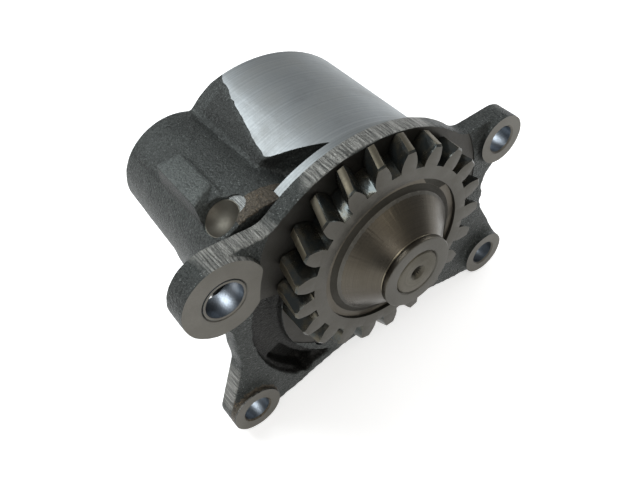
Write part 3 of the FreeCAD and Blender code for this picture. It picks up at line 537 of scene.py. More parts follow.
def rod(name: str, radius: float, low: float, high: float, axis: Place = DRIVE_AXIS,
        finish: Finish = Finish.BORED, sides: int = 128) -> Solid:
    """Add a cylinder along Y.

    Args:
        name: Name of the object.
        radius: Its radius.
        low: Its front end along Y.
        high: Its back end along Y.
        axis: X and Z of its axis.
        finish: Finish of its faces.
        sides: Number of sides.

    Returns:
        The cylinder.
    """
    deselect()
    bpy.ops.mesh.primitive_cylinder_add(vertices=sides, radius=radius, depth=high - low,
                                        location=(axis[0], (low + high) / 2, axis[1]),
                                        rotation=(math.pi / 2, 0, 0))
    return settle(name, finish)


def cone(name: str, front_radius: float, back_radius: float, low: float, high: float,
         axis: Place = DRIVE_AXIS, finish: Finish = Finish.BORED) -> Solid:
    """Add a cone along Y.

    Args:
        name: Name of the object.
        front_radius: Radius at its front end.
        back_radius: Radius at its back end.
        low: Its front end along Y.
        high: Its back end along Y.
        axis: X and Z of its axis.
        finish: Finish of its faces.

    Returns:
        The cone.
    """
    deselect()
    bpy.ops.mesh.primitive_cone_add(vertices=96, radius1=front_radius, radius2=back_radius, depth=high - low,
                                    location=(axis[0], (low + high) / 2, axis[1]),
                                    rotation=(-math.pi / 2, 0, 0))
    return settle(name, finish)


def lathe(name: str, profile: list[Place], axis: Place = DRIVE_AXIS,
          finish: Finish = Finish.BORED, steps: int = 192) -> Solid:
    """Spin a closed profile about an axis along Y.

    Args:
        name: Name of the object.
        profile: Radius and Y of each point, in order.
        axis: X and Z of the axis.
        finish: Finish of its faces.
        steps: Number of sides.

    Returns:
        The turned solid.
    """
    deselect()
    bpy.ops.mesh.primitive_circle_add(vertices=len(profile), radius=MM)
    outline = bpy.context.object
    for vertex, (radius, y) in zip(outline.data.vertices, profile):
        vertex.co = (axis[0] + radius, y, axis[1])
    bpy.ops.object.mode_set(mode="EDIT")
    bpy.ops.mesh.select_all(action="SELECT")
    bpy.ops.mesh.spin(steps=steps, angle=2 * math.pi, center=(axis[0], 0, axis[1]), axis=(0, 1, 0))
    bpy.ops.mesh.select_all(action="SELECT")
    bpy.ops.mesh.remove_doubles(threshold=1e-6)
    bpy.ops.mesh.normals_make_consistent(inside=False)
    bpy.ops.object.mode_set(mode="OBJECT")
    return settle(name, finish)


def slant_rod(name: str, radius: float, near: float, far: float, start: Triple,
              turn: float, finish: Finish) -> Solid:
    """Add a cylinder square to Y.

    Args:
        name: Name of the object.
        radius: Its radius.
        near: Distance from the start to its near end.
        far: Distance from the start to its far end.
        start: A point of its axis.
        turn: Angle of its axis from +X, in radians.
        finish: Finish of its faces.

    Returns:
        The cylinder.
    """
    deselect()
    way = Vector((math.cos(turn), 0, math.sin(turn)))
    bpy.ops.mesh.primitive_cylinder_add(vertices=96, radius=radius, depth=far - near,
                                        location=Vector(start) + way * (near + far) / 2,
                                        rotation=(0, math.pi / 2 - turn, 0))
    return settle(name, finish)


def slab(name: str, low: Triple, high: Triple,
         finish: Finish) -> Solid:
    """Add a box between two corners.

    Args:
        name: Name of the object.
        low: Lowest corner.
        high: Highest corner.
        finish: Finish of its faces.

    Returns:
        The box.
    """
    deselect()
    bpy.ops.mesh.primitive_cube_add(size=1, location=(Vector(low) + Vector(high)) / 2)
    bpy.context.object.scale = Vector(high) - Vector(low)
    return settle(name, finish)


def slice_off(piece: Solid, point: Triple,
              normal: Triple) -> Solid:
    """Cut away all that lies past a plane, and close the cut.

    Args:
        piece: Object to cut.
        point: A point of the plane.
        normal: The plane's normal, towards what goes.

    Returns:
        The object.
    """
    take(piece)
    bpy.ops.object.mode_set(mode="EDIT")
    bpy.ops.mesh.select_all(action="SELECT")
    bpy.ops.mesh.bisect(plane_co=point, plane_no=normal, use_fill=True, clear_outer=True)
    bpy.ops.object.mode_set(mode="OBJECT")
    return piece


def past(piece: Solid, turn: float, distance: float) -> Solid:
    """Cut away all past a flat side of the barrel, by its normal's angle and its distance from the axis."""
    way = (math.cos(turn), 0, math.sin(turn))
    return slice_off(piece, (SPIGOT_AXIS[0] + distance * way[0], 0, SPIGOT_AXIS[1] + distance * way[2]), way)


def modify(piece: Solid, kind: str, **settings: object) -> Solid:
    """Add a modifier and apply it.

    Args:
        piece: Object to change.
        kind: Type of the modifier.
        **settings: The modifier's settings.

    Returns:
        The object.
    """
    take(piece)
    modifier = piece.modifiers.new(kind.lower(), kind)
    for key, value in settings.items():
        setattr(modifier, key, value)
    bpy.ops.object.modifier_apply(modifier=modifier.name)
    return piece


def machine(piece: Solid, cutter: Solid, how: Cut = Cut.REMOVE) -> Solid:
    """Apply a cutter to a piece. The new faces take the cutter's finish, and the cutter goes.

    Args:
        piece: Object to cut.
        cutter: Closed mesh to cut with.
        how: What the cutter does.

    Returns:
        The object.
    """
    modify(piece, "BOOLEAN", operation=how.value, object=cutter, solver="MANIFOLD", material_mode="TRANSFER")
    bpy.data.objects.remove(cutter)
    return piece


def join(pieces: list[Solid]) -> Solid:
    """Join objects into the first of them.

    Args:
        pieces: Objects to join.

    Returns:
        The joined object.
    """
    take(pieces[0])
    for piece in pieces:
        piece.select_set(True)
    bpy.ops.object.join()
    return pieces[0]


def push(piece: Solid, wanted: Callable[[Vector], bool], offset: Triple,
         grow: float = 1.0, axis: Place = DRIVE_AXIS) -> None:
    """Move the vertices that a test picks, or spread them from an axis along Y.

    Args:
        piece: Object to change.
        wanted: Test of a vertex's place.
        offset: Distance to move them.
        grow: Factor to spread them by.
        axis: X and Z of the axis that they spread from.
    """
    take(piece)
    bpy.ops.object.mode_set(mode="EDIT")
    bpy.ops.mesh.select_mode(type="VERT")
    bpy.ops.mesh.select_all(action="DESELECT")
    bpy.ops.object.mode_set(mode="OBJECT")
    for vertex in piece.data.vertices:
        vertex.select = wanted(vertex.co)
    bpy.ops.object.mode_set(mode="EDIT")
    if grow == 1.0:
        bpy.ops.transform.translate(value=offset)
    else:
        bpy.ops.transform.resize(value=(grow, 1.0, grow), center_override=(axis[0], 0.0, axis[1]))
    bpy.ops.object.mode_set(mode="OBJECT")


def out(spot: Vector, axis: Place = DRIVE_AXIS) -> float:
    """Distance of a point from an axis along Y."""
    return math.hypot(spot.x - axis[0], spot.z - axis[1])


def at_y(place: float) -> Callable[[Vector], bool]:
    """Test for vertices at one place along Y."""
    return lambda spot: abs(spot.y - place) < 0.01 * MM


def at_radius(radius: float, axis: Place) -> Callable[[Vector], bool]:
    """Test for vertices at one distance from an axis along Y."""
    return lambda spot: abs(out(spot, axis) - radius) < 0.02 * MM


def copy_node(node: str, finish: Finish) -> Solid:
    """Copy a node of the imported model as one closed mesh.

    Args:
        node: Name of the node.
        finish: Finish of its faces.

    Returns:
        The copy.
    """
    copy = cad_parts[node].copy()
    copy.data = copy.data.copy()
    for key in list(copy.keys()):
        del copy[key]
    copy.parent = None
    copy.matrix_world = Matrix.Identity(4)
    bpy.context.scene.collection.objects.link(copy)
    take(copy)
    copy.data.materials.clear()
    copy.data.materials.append(finish.material())
    bpy.ops.object.mode_set(mode="EDIT")
    bpy.ops.mesh.select_all(action="SELECT")
    bpy.ops.mesh.remove_doubles(threshold=1e-6)
    bpy.ops.object.mode_set(mode="OBJECT")
    return copy


def shade(piece: Solid, angle: float = 32.0) -> Solid:
    """Shade a piece smooth up to an angle in degrees."""
    take(piece)
    bpy.ops.object.shade_smooth_by_angle(angle=math.radians(angle), keep_sharp_edges=False)
    return piece


def dress(piece: Solid, rules: list[tuple[Finish, Callable[[Vector, Vector], bool]]]) -> None:
    """Give faces their finish by place and normal; the last rule that fits holds.

    Args:
        piece: Object to dress.
        rules: Finishes, each with a test of a face's centre and normal.
    """
    for finish, fits in rules:
        number = len(piece.data.materials)
        piece.data.materials.append(finish.material())
        for face in piece.data.polygons:
            if fits(face.center, face.normal):
                face.material_index = number


def break_edges(piece: Solid, width: float, finish: Finish | None) -> None:
    """Bevel the sharp edges of a piece.

    Args:
        piece: Object to bevel.
        width: Width of the bevel.
        finish: Finish of the bevel's faces; without one, they take that of their neighbours.
    """
    number = -1
    if finish:
        number = len(piece.data.materials)
        piece.data.materials.append(finish.material())
    modify(piece, "BEVEL", width=width, segments=2, limit_method="ANGLE", material=number,
           angle_limit=EDGE_ANGLE, use_clamp_overlap=True)


def seat(made: Solid, name: str, body: str, nodes: tuple[str, ...]) -> Solid:
    """Seat a finished piece on its body.

    Args:
        made: The finished object.
        name: Its name.
        body: Body that it rides on.
        nodes: Nodes that it stands for.

    Returns:
        The object.
    """
    made.name = name
    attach(made, body)
    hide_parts(*nodes)
    log.info("%s: %d faces on %s", name, len(made.data.polygons), body)
    return made


@dataclass
class Casting:
    """A sand casting: a rough blank with metal to spare, machined to size."""

    node: str
    finish: Finish = Finish.CAST_BODY
    voxel: float = 0.85 * MM
    rounds: int = 5
    uneven: float = 0.3 * MM

    def blank(self) -> Solid:
        """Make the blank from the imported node."""
        return copy_node(self.node, self.finish)

    def cast(self, blank: Solid) -> Solid:
        """Give the blank rounded edges and an uneven skin.

        Args:
            blank: The blank.

        Returns:
            The rough casting.
        """
        modify(blank, "REMESH", mode="VOXEL", voxel_size=self.voxel, use_smooth_shade=True)
        modify(blank, "SMOOTH", iterations=self.rounds, factor=0.5)
        waves = bpy.data.textures.new(f"{self.node}_waves", "CLOUDS")
        waves.noise_scale = 5 * MM
        waves.noise_depth = 2
        modify(blank, "DISPLACE", texture=waves, texture_coords="LOCAL", strength=self.uneven, mid_level=0.5)
        bpy.data.textures.remove(waves)
        blank.data.materials.clear()
        blank.data.materials.append(self.finish.material())
        return blank

    def machining(self, body: Solid) -> None:
        """Machine the casting."""

    def build(self) -> Solid:
        """Make the casting, machine it and seat it."""
        body = self.cast(self.blank())
        self.machining(body)
        return seat(shade(body), f"{self.node}_casting", "housing", (self.node,))


@dataclass
class FlangeHousing(Casting):
    """Mounting flange: plate with four ears, spigot, bearing seats and the recess behind the gear."""

    node: str = "flange_housing"
    finish: Finish = Finish.CAST_FLANGE
    plate: float = 6.5 * MM
    ear_y: float = -9.5 * MM
    spigot_radius: float = 55 * MM
    gear_sweep: float = 50.6 * MM
    hole_radius: float = 5.5 * MM
    edge: float = 0.6 * MM
    sleeve_seat: float = 8.02 * MM
    small_ear: float = 10.2 * MM
    big_ear: float = 15.5 * MM
    small_ears: tuple[Place, ...] = ((61.5 * MM, 10.5 * MM), (59.5 * MM, -53.5 * MM),
                                                   (-61 * MM, -53.5 * MM))
    left_ear: Place = (-62 * MM, 16 * MM)
    washer_seat: Place = (17.02 * MM, -4.7 * MM)
    pin_seat_y: float = -1.5 * MM
    head_seat: Place = (5.3 * MM, -0.2 * MM)
    skin: float = 0.3 * MM

    def ears(self) -> list[tuple[Place, float, float]]:
        """Give each ear's centre, radius and hole radius."""
        return ([(place, self.small_ear, self.hole_radius) for place in self.small_ears]
                + [(self.left_ear, self.big_ear, self.sleeve_seat)])

    def blank(self) -> Solid:
        """Make the blank: spare metal on the ears and the spigot, and no holes."""
        shell = copy_node(self.node, self.finish)
        push(shell, at_radius(self.spigot_radius, SPIGOT_AXIS), (0, 0, 0), 1.03, SPIGOT_AXIS)
        for place, way in ((-self.plate, -self.skin), (self.ear_y, -SPARE), (0.0, SPARE),
                           (JOINT_Y, SPARE)):
            push(shell, at_y(place), (0, way, 0))
        front = -self.plate - self.skin
        fills = [rod("hole_fill", hole + 1.4 * MM, self.ear_y - SPARE, SPARE, place)
                 for place, _, hole in self.ears()]
        fills += [rod("screw_fill", self.head_seat[0] + MM, front, JOINT_Y + SPARE, place)
                  for place in BODY_SCREWS]
        fills += [rod("drive_fill", 24 * MM, front, JOINT_Y + SPARE),
                  rod("driven_fill", 14 * MM, -self.plate + MM, JOINT_Y + SPARE, DRIVEN_AXIS)]
        return join([shell] + fills)

    def machining(self, body: Solid) -> None:
        """Face the ears and the gear's room, turn the spigot, bore the seats and drill the holes.

        Args:
            body: The rough casting.
        """
        # The faced flange front takes the darkened finish: painted shadow of the gear.
        envelope = slab("cast_room", (-0.1, -self.plate - MM, -0.09), (0.1, 0, 0.06), Finish.FACED)
        for place, radius, _ in self.ears():
            machine(envelope, rod("ear_room", radius + 1.2 * MM, self.ear_y, -self.plate + MM, place,
                                  Finish.EAR_FACE), Cut.ADD)
        machine(envelope, lathe("spigot_room", [(0, -MM), (self.spigot_radius, -MM),
                                                (self.spigot_radius, JOINT_Y - self.edge),
                                                (self.spigot_radius - self.edge, JOINT_Y), (0, JOINT_Y)],
                                SPIGOT_AXIS, Finish.SPIGOT, 256), Cut.ADD)
        machine(body, envelope, Cut.KEEP_INSIDE)
        machine(body, rod("gear_sweep", self.gear_sweep, self.ear_y - MM, -self.plate, DRIVE_AXIS,
                          Finish.FACED, 192))
        for place, _, hole in self.ears():
            machine(body, rod("ear_hole", hole, self.ear_y - MM, MM, place))
            machine(body, cone("ear_hole_mouth", hole + 2 * self.edge, hole, self.ear_y - self.edge,
                               self.ear_y + self.edge, place, Finish.EAR_FACE))
        machine(body, rod("drive_seat", DRIVE_SEAT, -self.plate - MM, JOINT_Y + MM))
        machine(body, rod("driven_seat", DRIVEN_SEAT, self.pin_seat_y, JOINT_Y + MM, DRIVEN_AXIS))
        machine(body, rod("washer_seat", self.washer_seat[0], -self.plate - MM, self.washer_seat[1]))
        for place in BODY_SCREWS:
            machine(body, rod("head_seat", self.head_seat[0], -self.plate - MM, self.head_seat[1], place,
                              sides=64))
            machine(body, rod("screw_way", SCREW_WAY, -self.plate, JOINT_Y + MM, place, sides=48))
        for place in DOWELS:
            machine(body, rod("dowel_seat", DOWEL_SEAT, JOINT_Y - 5 * MM, JOINT_Y + MM, place, sides=48))
        # The recess gets painted shade; the foot's side gets its rust.
        dress(body, [(Finish.RECESS, self.in_shaded_recess), (Finish.RUSTED, self.round_foot)])

    def round_foot(self, spot: Vector, normal: Vector) -> bool:
        """Tell whether a face lies on the side of the left foot's boss."""
        return (out(spot, self.small_ears[2]) < self.small_ear + 2 * MM and abs(normal.y) < 0.8
                and self.ear_y + 0.3 * MM < spot.y < -self.plate + 0.2 * MM)

    def in_shaded_recess(self, spot: Vector, normal: Vector) -> bool:
        """Tell whether a face lies in the cast recess at the lower left, which is given painted shade."""
        return (39 * MM < out(spot, SPIGOT_AXIS) < 52.6 * MM and spot.x < 0
                and -self.plate + 0.3 * MM < spot.y < 5 * MM and spot.z < 5 * MM)


@dataclass
class GearHousing(Casting):
    """Gear housing: turned barrel, cast side, valve boss with its rib, and all its bores."""

    node: str = "gear_housing"
    barrel_radius: float = 53.7 * MM
    side_turn: float = math.radians(130)
    side_distance: float = 44 * MM
    left_turn: float = math.radians(187)
    left_distance: float = 48.8 * MM
    cast_radii: Place = (40.8 * MM, 37.6 * MM)
    shoulder_point: Triple = (-21.4 * MM, 18.8 * MM, 33.3 * MM)
    shoulder_normal: Triple = (-0.5446, -0.8368, 0.0572)
    boss_room: Place = (25.0 * MM, 22.3 * MM)
    rib_low: Triple = (-53.5 * MM, 15 * MM, 10 * MM)
    rib_high: Triple = (-44 * MM, 43.5 * MM, 32 * MM)
    rib_end: Triple = (-47.9 * MM, 17.9 * MM, 27.3 * MM)
    rib_end_normal: Triple = (0.42, -0.75, 0.51)
    nose_y: float = 2.2 * MM
    nose_room: float = 55.3 * MM
    boss_metal: tuple[float, float, float, float] = (24.3 * MM, 23.8 * MM, 2.5 * MM, 19.5 * MM)
    lined_turn: float = math.radians(105)
    lined_y: float = 10.5 * MM
    lined_radius: float = 4.3 * MM
    lined_distance: float = 23.4 * MM
    pocket_radius: float = 18.1 * MM
    pocket_end: float = 41.6 * MM
    ways: tuple[tuple[float, Place], ...] = ((10.8 * MM, (19 * MM, -15 * MM)),
                                                           (8.8 * MM, (-17 * MM, -15 * MM)))
    recess_y: float = 61.0 * MM
    recess_radius: float = 44.3 * MM
    facet_turn: float = math.radians(143.5)
    facet_distance: float = 28.8 * MM
    recess_floor: float = -53.3 * MM
    drill_turn: float = math.radians(119)
    drill_y: float = 11 * MM
    drill_radius: float = 2.8 * MM
    drill_reach: float = 27 * MM
    spot_radius: float = 7.1 * MM
    spot_distance: float = 22.4 * MM
    plug_seat: float = 6.82 * MM
    plug_depth: float = 4 * MM
    spill_turn: float = math.radians(233)
    spill_y: float = 33 * MM
    spill_radius: float = 4 * MM
    valve_radius: float = 8 * MM
    valve_seat_y: float = 21 * MM
    valve_chamber: Place = (6 * MM, 9.5 * MM)
    valve_thread: Place = (10 * MM, 56.5 * MM)
    end_chamfer: float = 0.8 * MM

    def side_cuts(self, piece: Solid, sides: bool = True) -> Solid:
        """Take off what lies in front of the shoulder, below the flat and past the cast sides.

        Args:
            piece: Metal of the barrel.
            sides: Whether the two cast sides are cut too.

        Returns:
            The piece.
        """
        slice_off(piece, self.shoulder_point, self.shoulder_normal)
        slice_off(piece, (0, 0, FLAT_Z), (0, 0, -1))
        if sides:
            past(piece, self.side_turn, self.side_distance)
            past(piece, self.left_turn, self.left_distance)
        return piece

    def blank(self) -> Solid:
        """Make the blank: spare metal on the barrel and its ends, and no bores."""
        shell = copy_node(self.node, self.finish)
        for place, way in ((JOINT_Y, -SPARE), (BODY_END_Y, SPARE)):
            push(shell, at_y(place), (0, way, 0))
        low, high = JOINT_Y - SPARE, BODY_END_Y + SPARE
        fills = [self.side_cuts(rod("barrel_spare", self.barrel_radius + SPARE, low, high, SPIGOT_AXIS)),
                 self.side_cuts(cone("side_spare", *self.cast_radii, low, high), sides=False),
                 rod("drive_fill", self.pocket_radius + MM, low, self.recess_y),
                 rod("driven_fill", self.pocket_radius + MM, low, self.recess_y, DRIVEN_AXIS),
                 slice_off(rod("recess_fill", self.recess_radius + 0.4 * MM, self.recess_y - 2 * MM, high,
                               SPIGOT_AXIS), (0, 0, FLAT_Z + 0.2 * MM), (0, 0, -1)),
                 rod("valve_fill", 13 * MM, self.valve_chamber[1] - MM, high, VALVE_AXIS),
                 cone("boss_fill", *self.boss_metal, VALVE_AXIS)]
        fills += [rod("way_fill", radius + MM, low, self.recess_y, axis) for radius, axis in self.ways]
        fills += [rod("screw_fill", SCREW_WAY + MM, low, 21.5 * MM, place) for place in BODY_SCREWS + DOWELS]
        return join([shell] + fills)

    def cover_recess(self) -> Solid:
        """Make the cutter of the recess that the cover sits in."""
        recess = rod("cover_recess", self.recess_radius, self.recess_y, BODY_END_Y + MM, SPIGOT_AXIS,
                     Finish.FACED)
        past(recess, self.facet_turn, self.facet_distance)
        return slice_off(recess, (0, 0, self.recess_floor), (0, 0, -1))

    def machining(self, body: Solid) -> None:
        """Turn the barrel, bore the pockets, seats and ways, and mill the spot face.

        Args:
            body: The rough casting.
        """
        end = BODY_END_Y - self.end_chamfer
        room = lathe("turning", [(0, JOINT_Y), (self.barrel_radius, JOINT_Y), (self.barrel_radius, end),
                                 (self.barrel_radius - self.end_chamfer, BODY_END_Y), (0, BODY_END_Y)],
                     SPIGOT_AXIS, Finish.TURNED_BODY, 256)
        machine(room, cone("boss_room", *self.boss_room, JOINT_Y, BODY_END_Y, VALVE_AXIS,
                           Finish.CAST_BODY), Cut.ADD)
        nose = rod("nose", self.boss_room[0], self.nose_y - MM, JOINT_Y + MM, VALVE_AXIS, Finish.CAST_BODY)
        machine(nose, rod("spigot_room", self.nose_room, self.nose_y - 2 * MM, JOINT_Y, SPIGOT_AXIS,
                          Finish.CAST_BODY, 192))
        machine(room, nose, Cut.ADD)
        machine(body, room, Cut.KEEP_INSIDE)
        rib = slab("rib", self.rib_low, self.rib_high, self.finish)
        slice_off(rib, self.rib_end, self.rib_end_normal)
        modify(rib, "BEVEL", width=0.7 * MM, segments=3)
        machine(body, rib, Cut.ADD)
        for axis in (DRIVE_AXIS, DRIVEN_AXIS):
            machine(body, rod("pocket", self.pocket_radius, JOINT_Y - MM, self.pocket_end, axis))
        for radius, axis in ((DRIVE_SEAT, DRIVE_AXIS), (DRIVEN_SEAT, DRIVEN_AXIS)) + self.ways:
            machine(body, rod("way", radius, JOINT_Y - MM, self.recess_y + MM, axis))
        machine(body, self.cover_recess())
        x, z = VALVE_AXIS
        machine(body, slant_rod("lined_facet", self.lined_radius, self.lined_distance, 30 * MM,
                                (x, self.lined_y, z), self.lined_turn, Finish.LINED))
        spot = self.spot_distance
        # The spot face's wall takes the lighter cast finish: painted light over the shade that falls in it.
        for radius, near, far, finish in ((self.spot_radius, spot, 36 * MM, Finish.RIB_TOP),
                                          (self.plug_seat, spot - self.plug_depth, spot + MM, Finish.PLUG),
                                          (self.drill_radius, -self.drill_reach, spot, Finish.BORED)):
            machine(body, slant_rod("drilling", radius, near, far, (x, self.drill_y, z), self.drill_turn,
                                    finish))
        machine(body, slant_rod("spill_hole", self.spill_radius, 0, 36 * MM, (x, self.spill_y, z),
                                self.spill_turn, Finish.BORED))
        for radius, low in ((self.valve_radius, self.valve_seat_y), self.valve_thread):
            machine(body, rod("valve_bore", radius, low, BODY_END_Y + MM, VALVE_AXIS))
        machine(body, rod("valve_chamber", *self.valve_chamber, self.valve_seat_y + MM, VALVE_AXIS))
        for places, radius, low, high in ((BODY_SCREWS, SCREW_THREAD, JOINT_Y - MM, 20.5 * MM),
                                          (DOWELS, DOWEL_SEAT, JOINT_Y - MM, 12.5 * MM),
                                          (COVER_BOLTS, SCREW_THREAD, 50 * MM, self.recess_y + MM)):
            for place in places:
                machine(body, rod("small_hole", radius, low, high, place, sides=48))
        # The cast side takes painted shade, the rib's top and end painted light, and the nose its rust.
        dress(body, [(Finish.SHADED, self.on_shaded_side), (Finish.RIB_TOP, self.on_lit_rib),
                     (Finish.RUSTED, self.on_nose)])

    def on_shaded_side(self, spot: Vector, normal: Vector) -> bool:
        """Tell whether a face lies on the cast side and shoulder of the barrel, or the rib's outer wall, which
        are given painted shade.
        """
        side = (out(spot, SPIGOT_AXIS) < self.barrel_radius - 0.3 * MM and out(spot) > 36 * MM
                and out(spot, VALVE_AXIS) > 24.8 * MM and spot.z > 0
                and JOINT_Y + 0.3 * MM < spot.y < self.recess_y)
        return side or (abs(spot.x - self.rib_low[0]) < 0.4 * MM and normal.x < -0.6 and spot.z > 20 * MM)

    def on_lit_rib(self, spot: Vector, normal: Vector) -> bool:
        """Tell whether a face lies on top of the rib or on its sloping end, which are given painted light."""
        slope = Vector(self.rib_end_normal)
        top = normal.z > 0.5 and abs(spot.z - self.rib_high[2]) < 0.8 * MM and spot.y > self.rib_low[1]
        end = (normal.dot(slope) > 0.9 and spot.z > 26 * MM
               and abs((spot - Vector(self.rib_end)).dot(slope)) < 0.5 * MM)
        return self.rib_low[0] - MM < spot.x < self.rib_high[0] + 0.3 * MM and (top or end)

    def on_nose(self, spot: Vector, normal: Vector) -> bool:
        """Tell whether a face lies on the stained right of the boss's nose."""
        turn = math.degrees(math.atan2(spot.z - VALVE_AXIS[1], spot.x - VALVE_AXIS[0]))
        return (out(spot, VALVE_AXIS) > 23.6 * MM and 62 < turn < 112 and spot.y < JOINT_Y + 3.5 * MM
                and normal.z > 0.3)


@dataclass
class DriveGear:
    """Helical drive gear with its coned hub and collar."""

    tip_radius: float = 42.6 * MM
    root_radius: float = 34.8 * MM
    groove_radius: float = 29.8 * MM
    groove_y: float = -16.8 * MM
    cone_foot: float = 25.6 * MM
    neck_radius: float = 13.7 * MM
    collar_radius: float = 14.5 * MM
    collar_width: float = 2.4 * MM
    hub_front_y: float = -30.8 * MM
    hub_core: float = 12 * MM
    hub_spread: float = 1.06
    edge: float = 0.22 * MM

    def hub_room(self) -> Solid:
        """Make the cutter that turns the hub: the room in front of the groove, less the hub."""
        room = rod("hub_room", self.groove_radius + 0.05 * MM, self.hub_front_y - 2 * MM,
                   self.groove_y + 0.05 * MM, finish=Finish.CONE, sides=192)
        foot, neck, collar = self.cone_foot, self.neck_radius, self.collar_radius
        groove_y, front_y, neck_y = self.groove_y, self.hub_front_y, self.hub_front_y + self.collar_width
        turn = 0.25 * MM
        profile = [(0, groove_y + MM), (foot + 1.7 * MM, groove_y + MM), (foot + 1.7 * MM, groove_y),
                   (foot + 0.6 * MM, groove_y - 0.25 * MM), (foot - 0.3 * MM, groove_y - 0.8 * MM),
                   (neck + 0.2 * MM, neck_y + 0.7 * MM), (neck, neck_y + 0.3 * MM),
                   (neck + 0.1 * MM, neck_y), (collar - turn, neck_y), (collar, neck_y - turn),
                   (collar, front_y + turn), (collar - turn, front_y),
                   (collar - turn, front_y - 3 * MM), (0, front_y - 3 * MM)]
        return machine(room, lathe("hub_form", profile, finish=Finish.CONE))

    def build(self) -> Solid:
        """Turn the hub, round the gear's edges and dress its faces."""
        gear = copy_node("drive_gear", Finish.GEAR_FACE)
        neck_y = self.hub_front_y + self.collar_width + 0.05 * MM
        push(gear, lambda spot: self.hub_core < out(spot) < self.cone_foot + 0.5 * MM
             and spot.y < self.groove_y + 0.1 * MM, (0, 0, 0), self.hub_spread)
        machine(gear, self.hub_room())
        dress(gear, [
            (Finish.FLANK, lambda spot, normal: out(spot) > self.root_radius - 0.5 * MM
             and abs(normal.y) < 0.8),
            (Finish.GEAR_TIP, lambda spot, normal: out(spot) > self.tip_radius - 0.25 * MM
             and abs(normal.y) < 0.5),
            # The groove ring takes painted shade.
            (Finish.GROOVE, lambda spot, normal: self.cone_foot - 0.6 * MM < out(spot)
             < self.groove_radius + 0.2 * MM and spot.y < self.groove_y + 0.4 * MM),
            # The neck ring takes a painted highlight.
            (Finish.NECK, lambda spot, normal: out(spot) < self.neck_radius + 1.2 * MM
             and neck_y < spot.y < self.groove_y),
            (Finish.GEAR_FACE, lambda spot, normal: spot.y < self.hub_front_y + 0.5 * MM)])
        break_edges(gear, self.edge, Finish.GEAR_EDGE)
        return seat(shade(gear, 40), "drive_gear_dressed", "drive_train", ("drive_gear",))


@dataclass
class Fitting:
    """A small machined or bought-in piece: its node with broken edges and its finish."""

    node: str
    slot: str
    finish: Finish
    edge: float
    body: str = "housing"
    rules: list = field(default_factory=list)
    edge_finish: Finish | None = None

    def build(self) -> Solid:
        """Break the edges and dress the piece."""
        piece = copy_node(self.node, self.finish)
        dress(piece, self.rules)
        break_edges(piece, self.edge, self.edge_finish)
        return seat(shade(piece), f"{self.node}_dressed", self.body, (self.node,))


def fittings() -> list[Fitting]:
    """List the fittings that show.

    Returns:
        The fittings.
    """
    face = (Finish.EAR_FACE, lambda spot, normal: abs(normal.y) > 0.9)
    hole = (Finish.SHADOW, lambda spot, normal: out(spot) < 2.2 * MM and spot.y < -25 * MM
            and abs(normal.y) < 0.95)
    shown = [Fitting("locating_sleeve", "bright_steel", Finish.BORED, 0.25 * MM, rules=[face]),
             Fitting("drive_shaft", "bright_steel", Finish.SHAFT, 0.8 * MM, "drive_train", [hole],
                     Finish.SHADOW),
             Fitting("core_plug", "bright_steel", Finish.STEEL, 0.5 * MM),
             Fitting("relief_plug", "plated_steel", Finish.ZINC, 0.35 * MM),
             Fitting("relief_plug_seal", "copper", Finish.COPPER, 0.3 * MM)]
    for side in ("upper_left", "upper_right", "lower_right", "lower_left"):
        shown += [Fitting(f"cover_bolt_{side}", "plated_steel", Finish.ZINC, 0.3 * MM),
                  Fitting(f"lock_washer_{side}", "spring_steel", Finish.SPRING, 0.15 * MM),
                  Fitting(f"body_screw_{side}", "black_steel", Finish.BLACK, 0.25 * MM)]
    return shown


def dress_nodes() -> None:
    """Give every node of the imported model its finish."""
    finishes = (("flange_housing", Finish.CAST_BODY), ("gear_housing", Finish.CAST_BODY),
                ("rear_cover", Finish.CAST_BODY), ("locating_sleeve", Finish.BORED),
                ("drive_gear", Finish.GEAR_FACE), ("pump_gear_key", Finish.STEEL),
                ("pump_", Finish.GEAR_FACE), ("drive_shaft", Finish.SHAFT), ("driven_shaft", Finish.SHAFT),
                ("relief_piston", Finish.BORED), ("relief_spring", Finish.SPRING),
                ("relief_plug_seal", Finish.COPPER), ("relief_plug", Finish.ZINC),
                ("core_plug", Finish.STEEL), ("shaft_circlip", Finish.SPRING), ("gear_key", Finish.STEEL),
                ("body_screw", Finish.BLACK), ("cover_bolt", Finish.ZINC), ("lock_washer", Finish.SPRING),
                ("dowel", Finish.STEEL), ("", Finish.BRONZE))
    for name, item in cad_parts.items():
        finish = next(wanted for start, wanted in finishes if name.startswith(start))
        item.data.materials.clear()
        item.data.materials.append(finish.material())


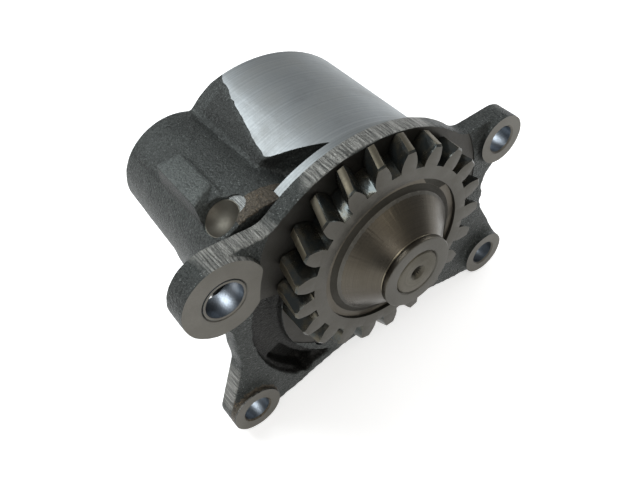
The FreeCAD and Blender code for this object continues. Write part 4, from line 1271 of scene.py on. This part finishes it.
@dataclass
class Stage:
    """Camera, floor and lights."""

    camera_place: Triple = (-0.11336, -0.14889, 0.20006)
    camera_right: Triple = (0.7932, -0.6044, -0.0751)
    camera_up: Triple = (0.4911, 0.5617, 0.6658)
    lens: float = 42.006
    lamps: tuple[tuple[str, Triple, float, float, Triple], ...] = (
        ("key", (-0.27, 0.50, 0.68), 0.5, 5.8, (0.94, 0.98, 1.0)),
        ("front_fill", (-0.32, -0.55, 0.72), 0.5, 1.7, (1.0, 0.97, 0.92)),
        ("hub_light", (0.13, -0.80, 0.42), 0.3, 0.6, (1.0, 0.92, 0.78)),
        ("right_fill", (0.7, 0.1, 0.3), 0.4, 1.8, (0.96, 0.98, 1.0)))
    room_light: float = 0.28
    paper_white: float = 0.85
    paper_glow: float = 0.6

    def camera(self) -> None:
        """Add the camera at the photograph's viewing angle."""
        deselect()
        bpy.ops.object.camera_add()
        camera = bpy.context.object
        camera.data.lens = self.lens
        camera.data.sensor_width = 36
        right = Vector(self.camera_right).normalized()
        up = Vector(self.camera_up)
        up = (up - up.dot(right) * right).normalized()
        turn = Matrix((right, up, right.cross(up))).transposed()
        camera.matrix_world = Matrix.Translation(self.camera_place) @ turn.to_4x4()
        bpy.context.scene.camera = camera

    def lamp(self, name: str, place: Triple, size: float, power: float, colour: Triple) -> None:
        """Add a square soft lamp that faces the pump.

        Args:
            name: Name of the lamp.
            place: Where it hangs.
            size: Length of its side.
            power: Its power in watts.
            colour: Its colour.
        """
        deselect()
        bpy.ops.object.light_add(type="AREA", location=place)
        lamp = bpy.context.object
        lamp.name = name
        lamp.data.size = size
        lamp.data.energy = power
        lamp.data.color = colour
        lamp.rotation_euler = (Vector((0, 0.02, 0)) - Vector(place)).to_track_quat("-Z", "Y").to_euler()

    def floor(self) -> None:
        """Add the pale floor, just under the pump."""
        deselect()
        bpy.ops.mesh.primitive_plane_add(size=6, location=(0, 0, CAD_BOX[0][2] - 0.2 * MM))
        plane = bpy.context.object
        plane.name = "floor"
        bpy.ops.object.transform_apply(location=True)
        material = bpy.data.materials.new("floor_paper")
        material.use_nodes = True
        tree = material.node_tree
        tree.nodes.clear()
        output, paper, glow, rays, both = (tree.nodes.new(f"ShaderNode{kind}") for kind in (
            "OutputMaterial", "BsdfDiffuse", "Emission", "LightPath", "AddShader"))
        paper.inputs["Color"].default_value = (*[self.paper_white] * 3, 1)
        glow.inputs["Color"].default_value = (1, 1, 1, 1)
        seen = rays.outputs["Is Camera Ray"]
        for kind in ("Is Glossy Ray", "Is Transmission Ray"):
            either = tree.nodes.new("ShaderNodeMath")
            either.operation = "MAXIMUM"
            tree.links.new(seen, either.inputs[0])
            tree.links.new(rays.outputs[kind], either.inputs[1])
            seen = either.outputs[0]
        strength = tree.nodes.new("ShaderNodeMath")
        strength.operation = "MULTIPLY"
        strength.inputs[1].default_value = self.paper_glow
        for start, end in ((seen, strength.inputs[0]), (strength.outputs[0], glow.inputs["Strength"]),
                           (paper.outputs[0], both.inputs[0]), (glow.outputs[0], both.inputs[1]),
                           (both.outputs[0], output.inputs["Surface"])):
            tree.links.new(start, end)
        plane.data.materials.append(material)

    def build(self) -> None:
        """Set the whole stage."""
        scene = bpy.context.scene
        scene.view_settings.view_transform = "Standard"
        self.camera()
        self.floor()
        for lamp in self.lamps:
            self.lamp(*lamp)
        world = bpy.data.worlds.new("room")
        world.use_nodes = True
        room = world.node_tree.nodes["Background"]
        room.inputs["Color"].default_value = (1, 1, 1, 1)
        room.inputs["Strength"].default_value = self.room_light
        scene.world = world


def main() -> None:
    """Build the pump and its stage, and report each piece."""
    logging.basicConfig(level=logging.INFO, format="%(name)s: %(message)s")
    dress_nodes()
    FlangeHousing().build()
    GearHousing("gear_housing").build()
    DriveGear().build()
    for fitting in fittings():
        fitting.build()
    Stage().build()


if __name__ == "__main__":
    main()
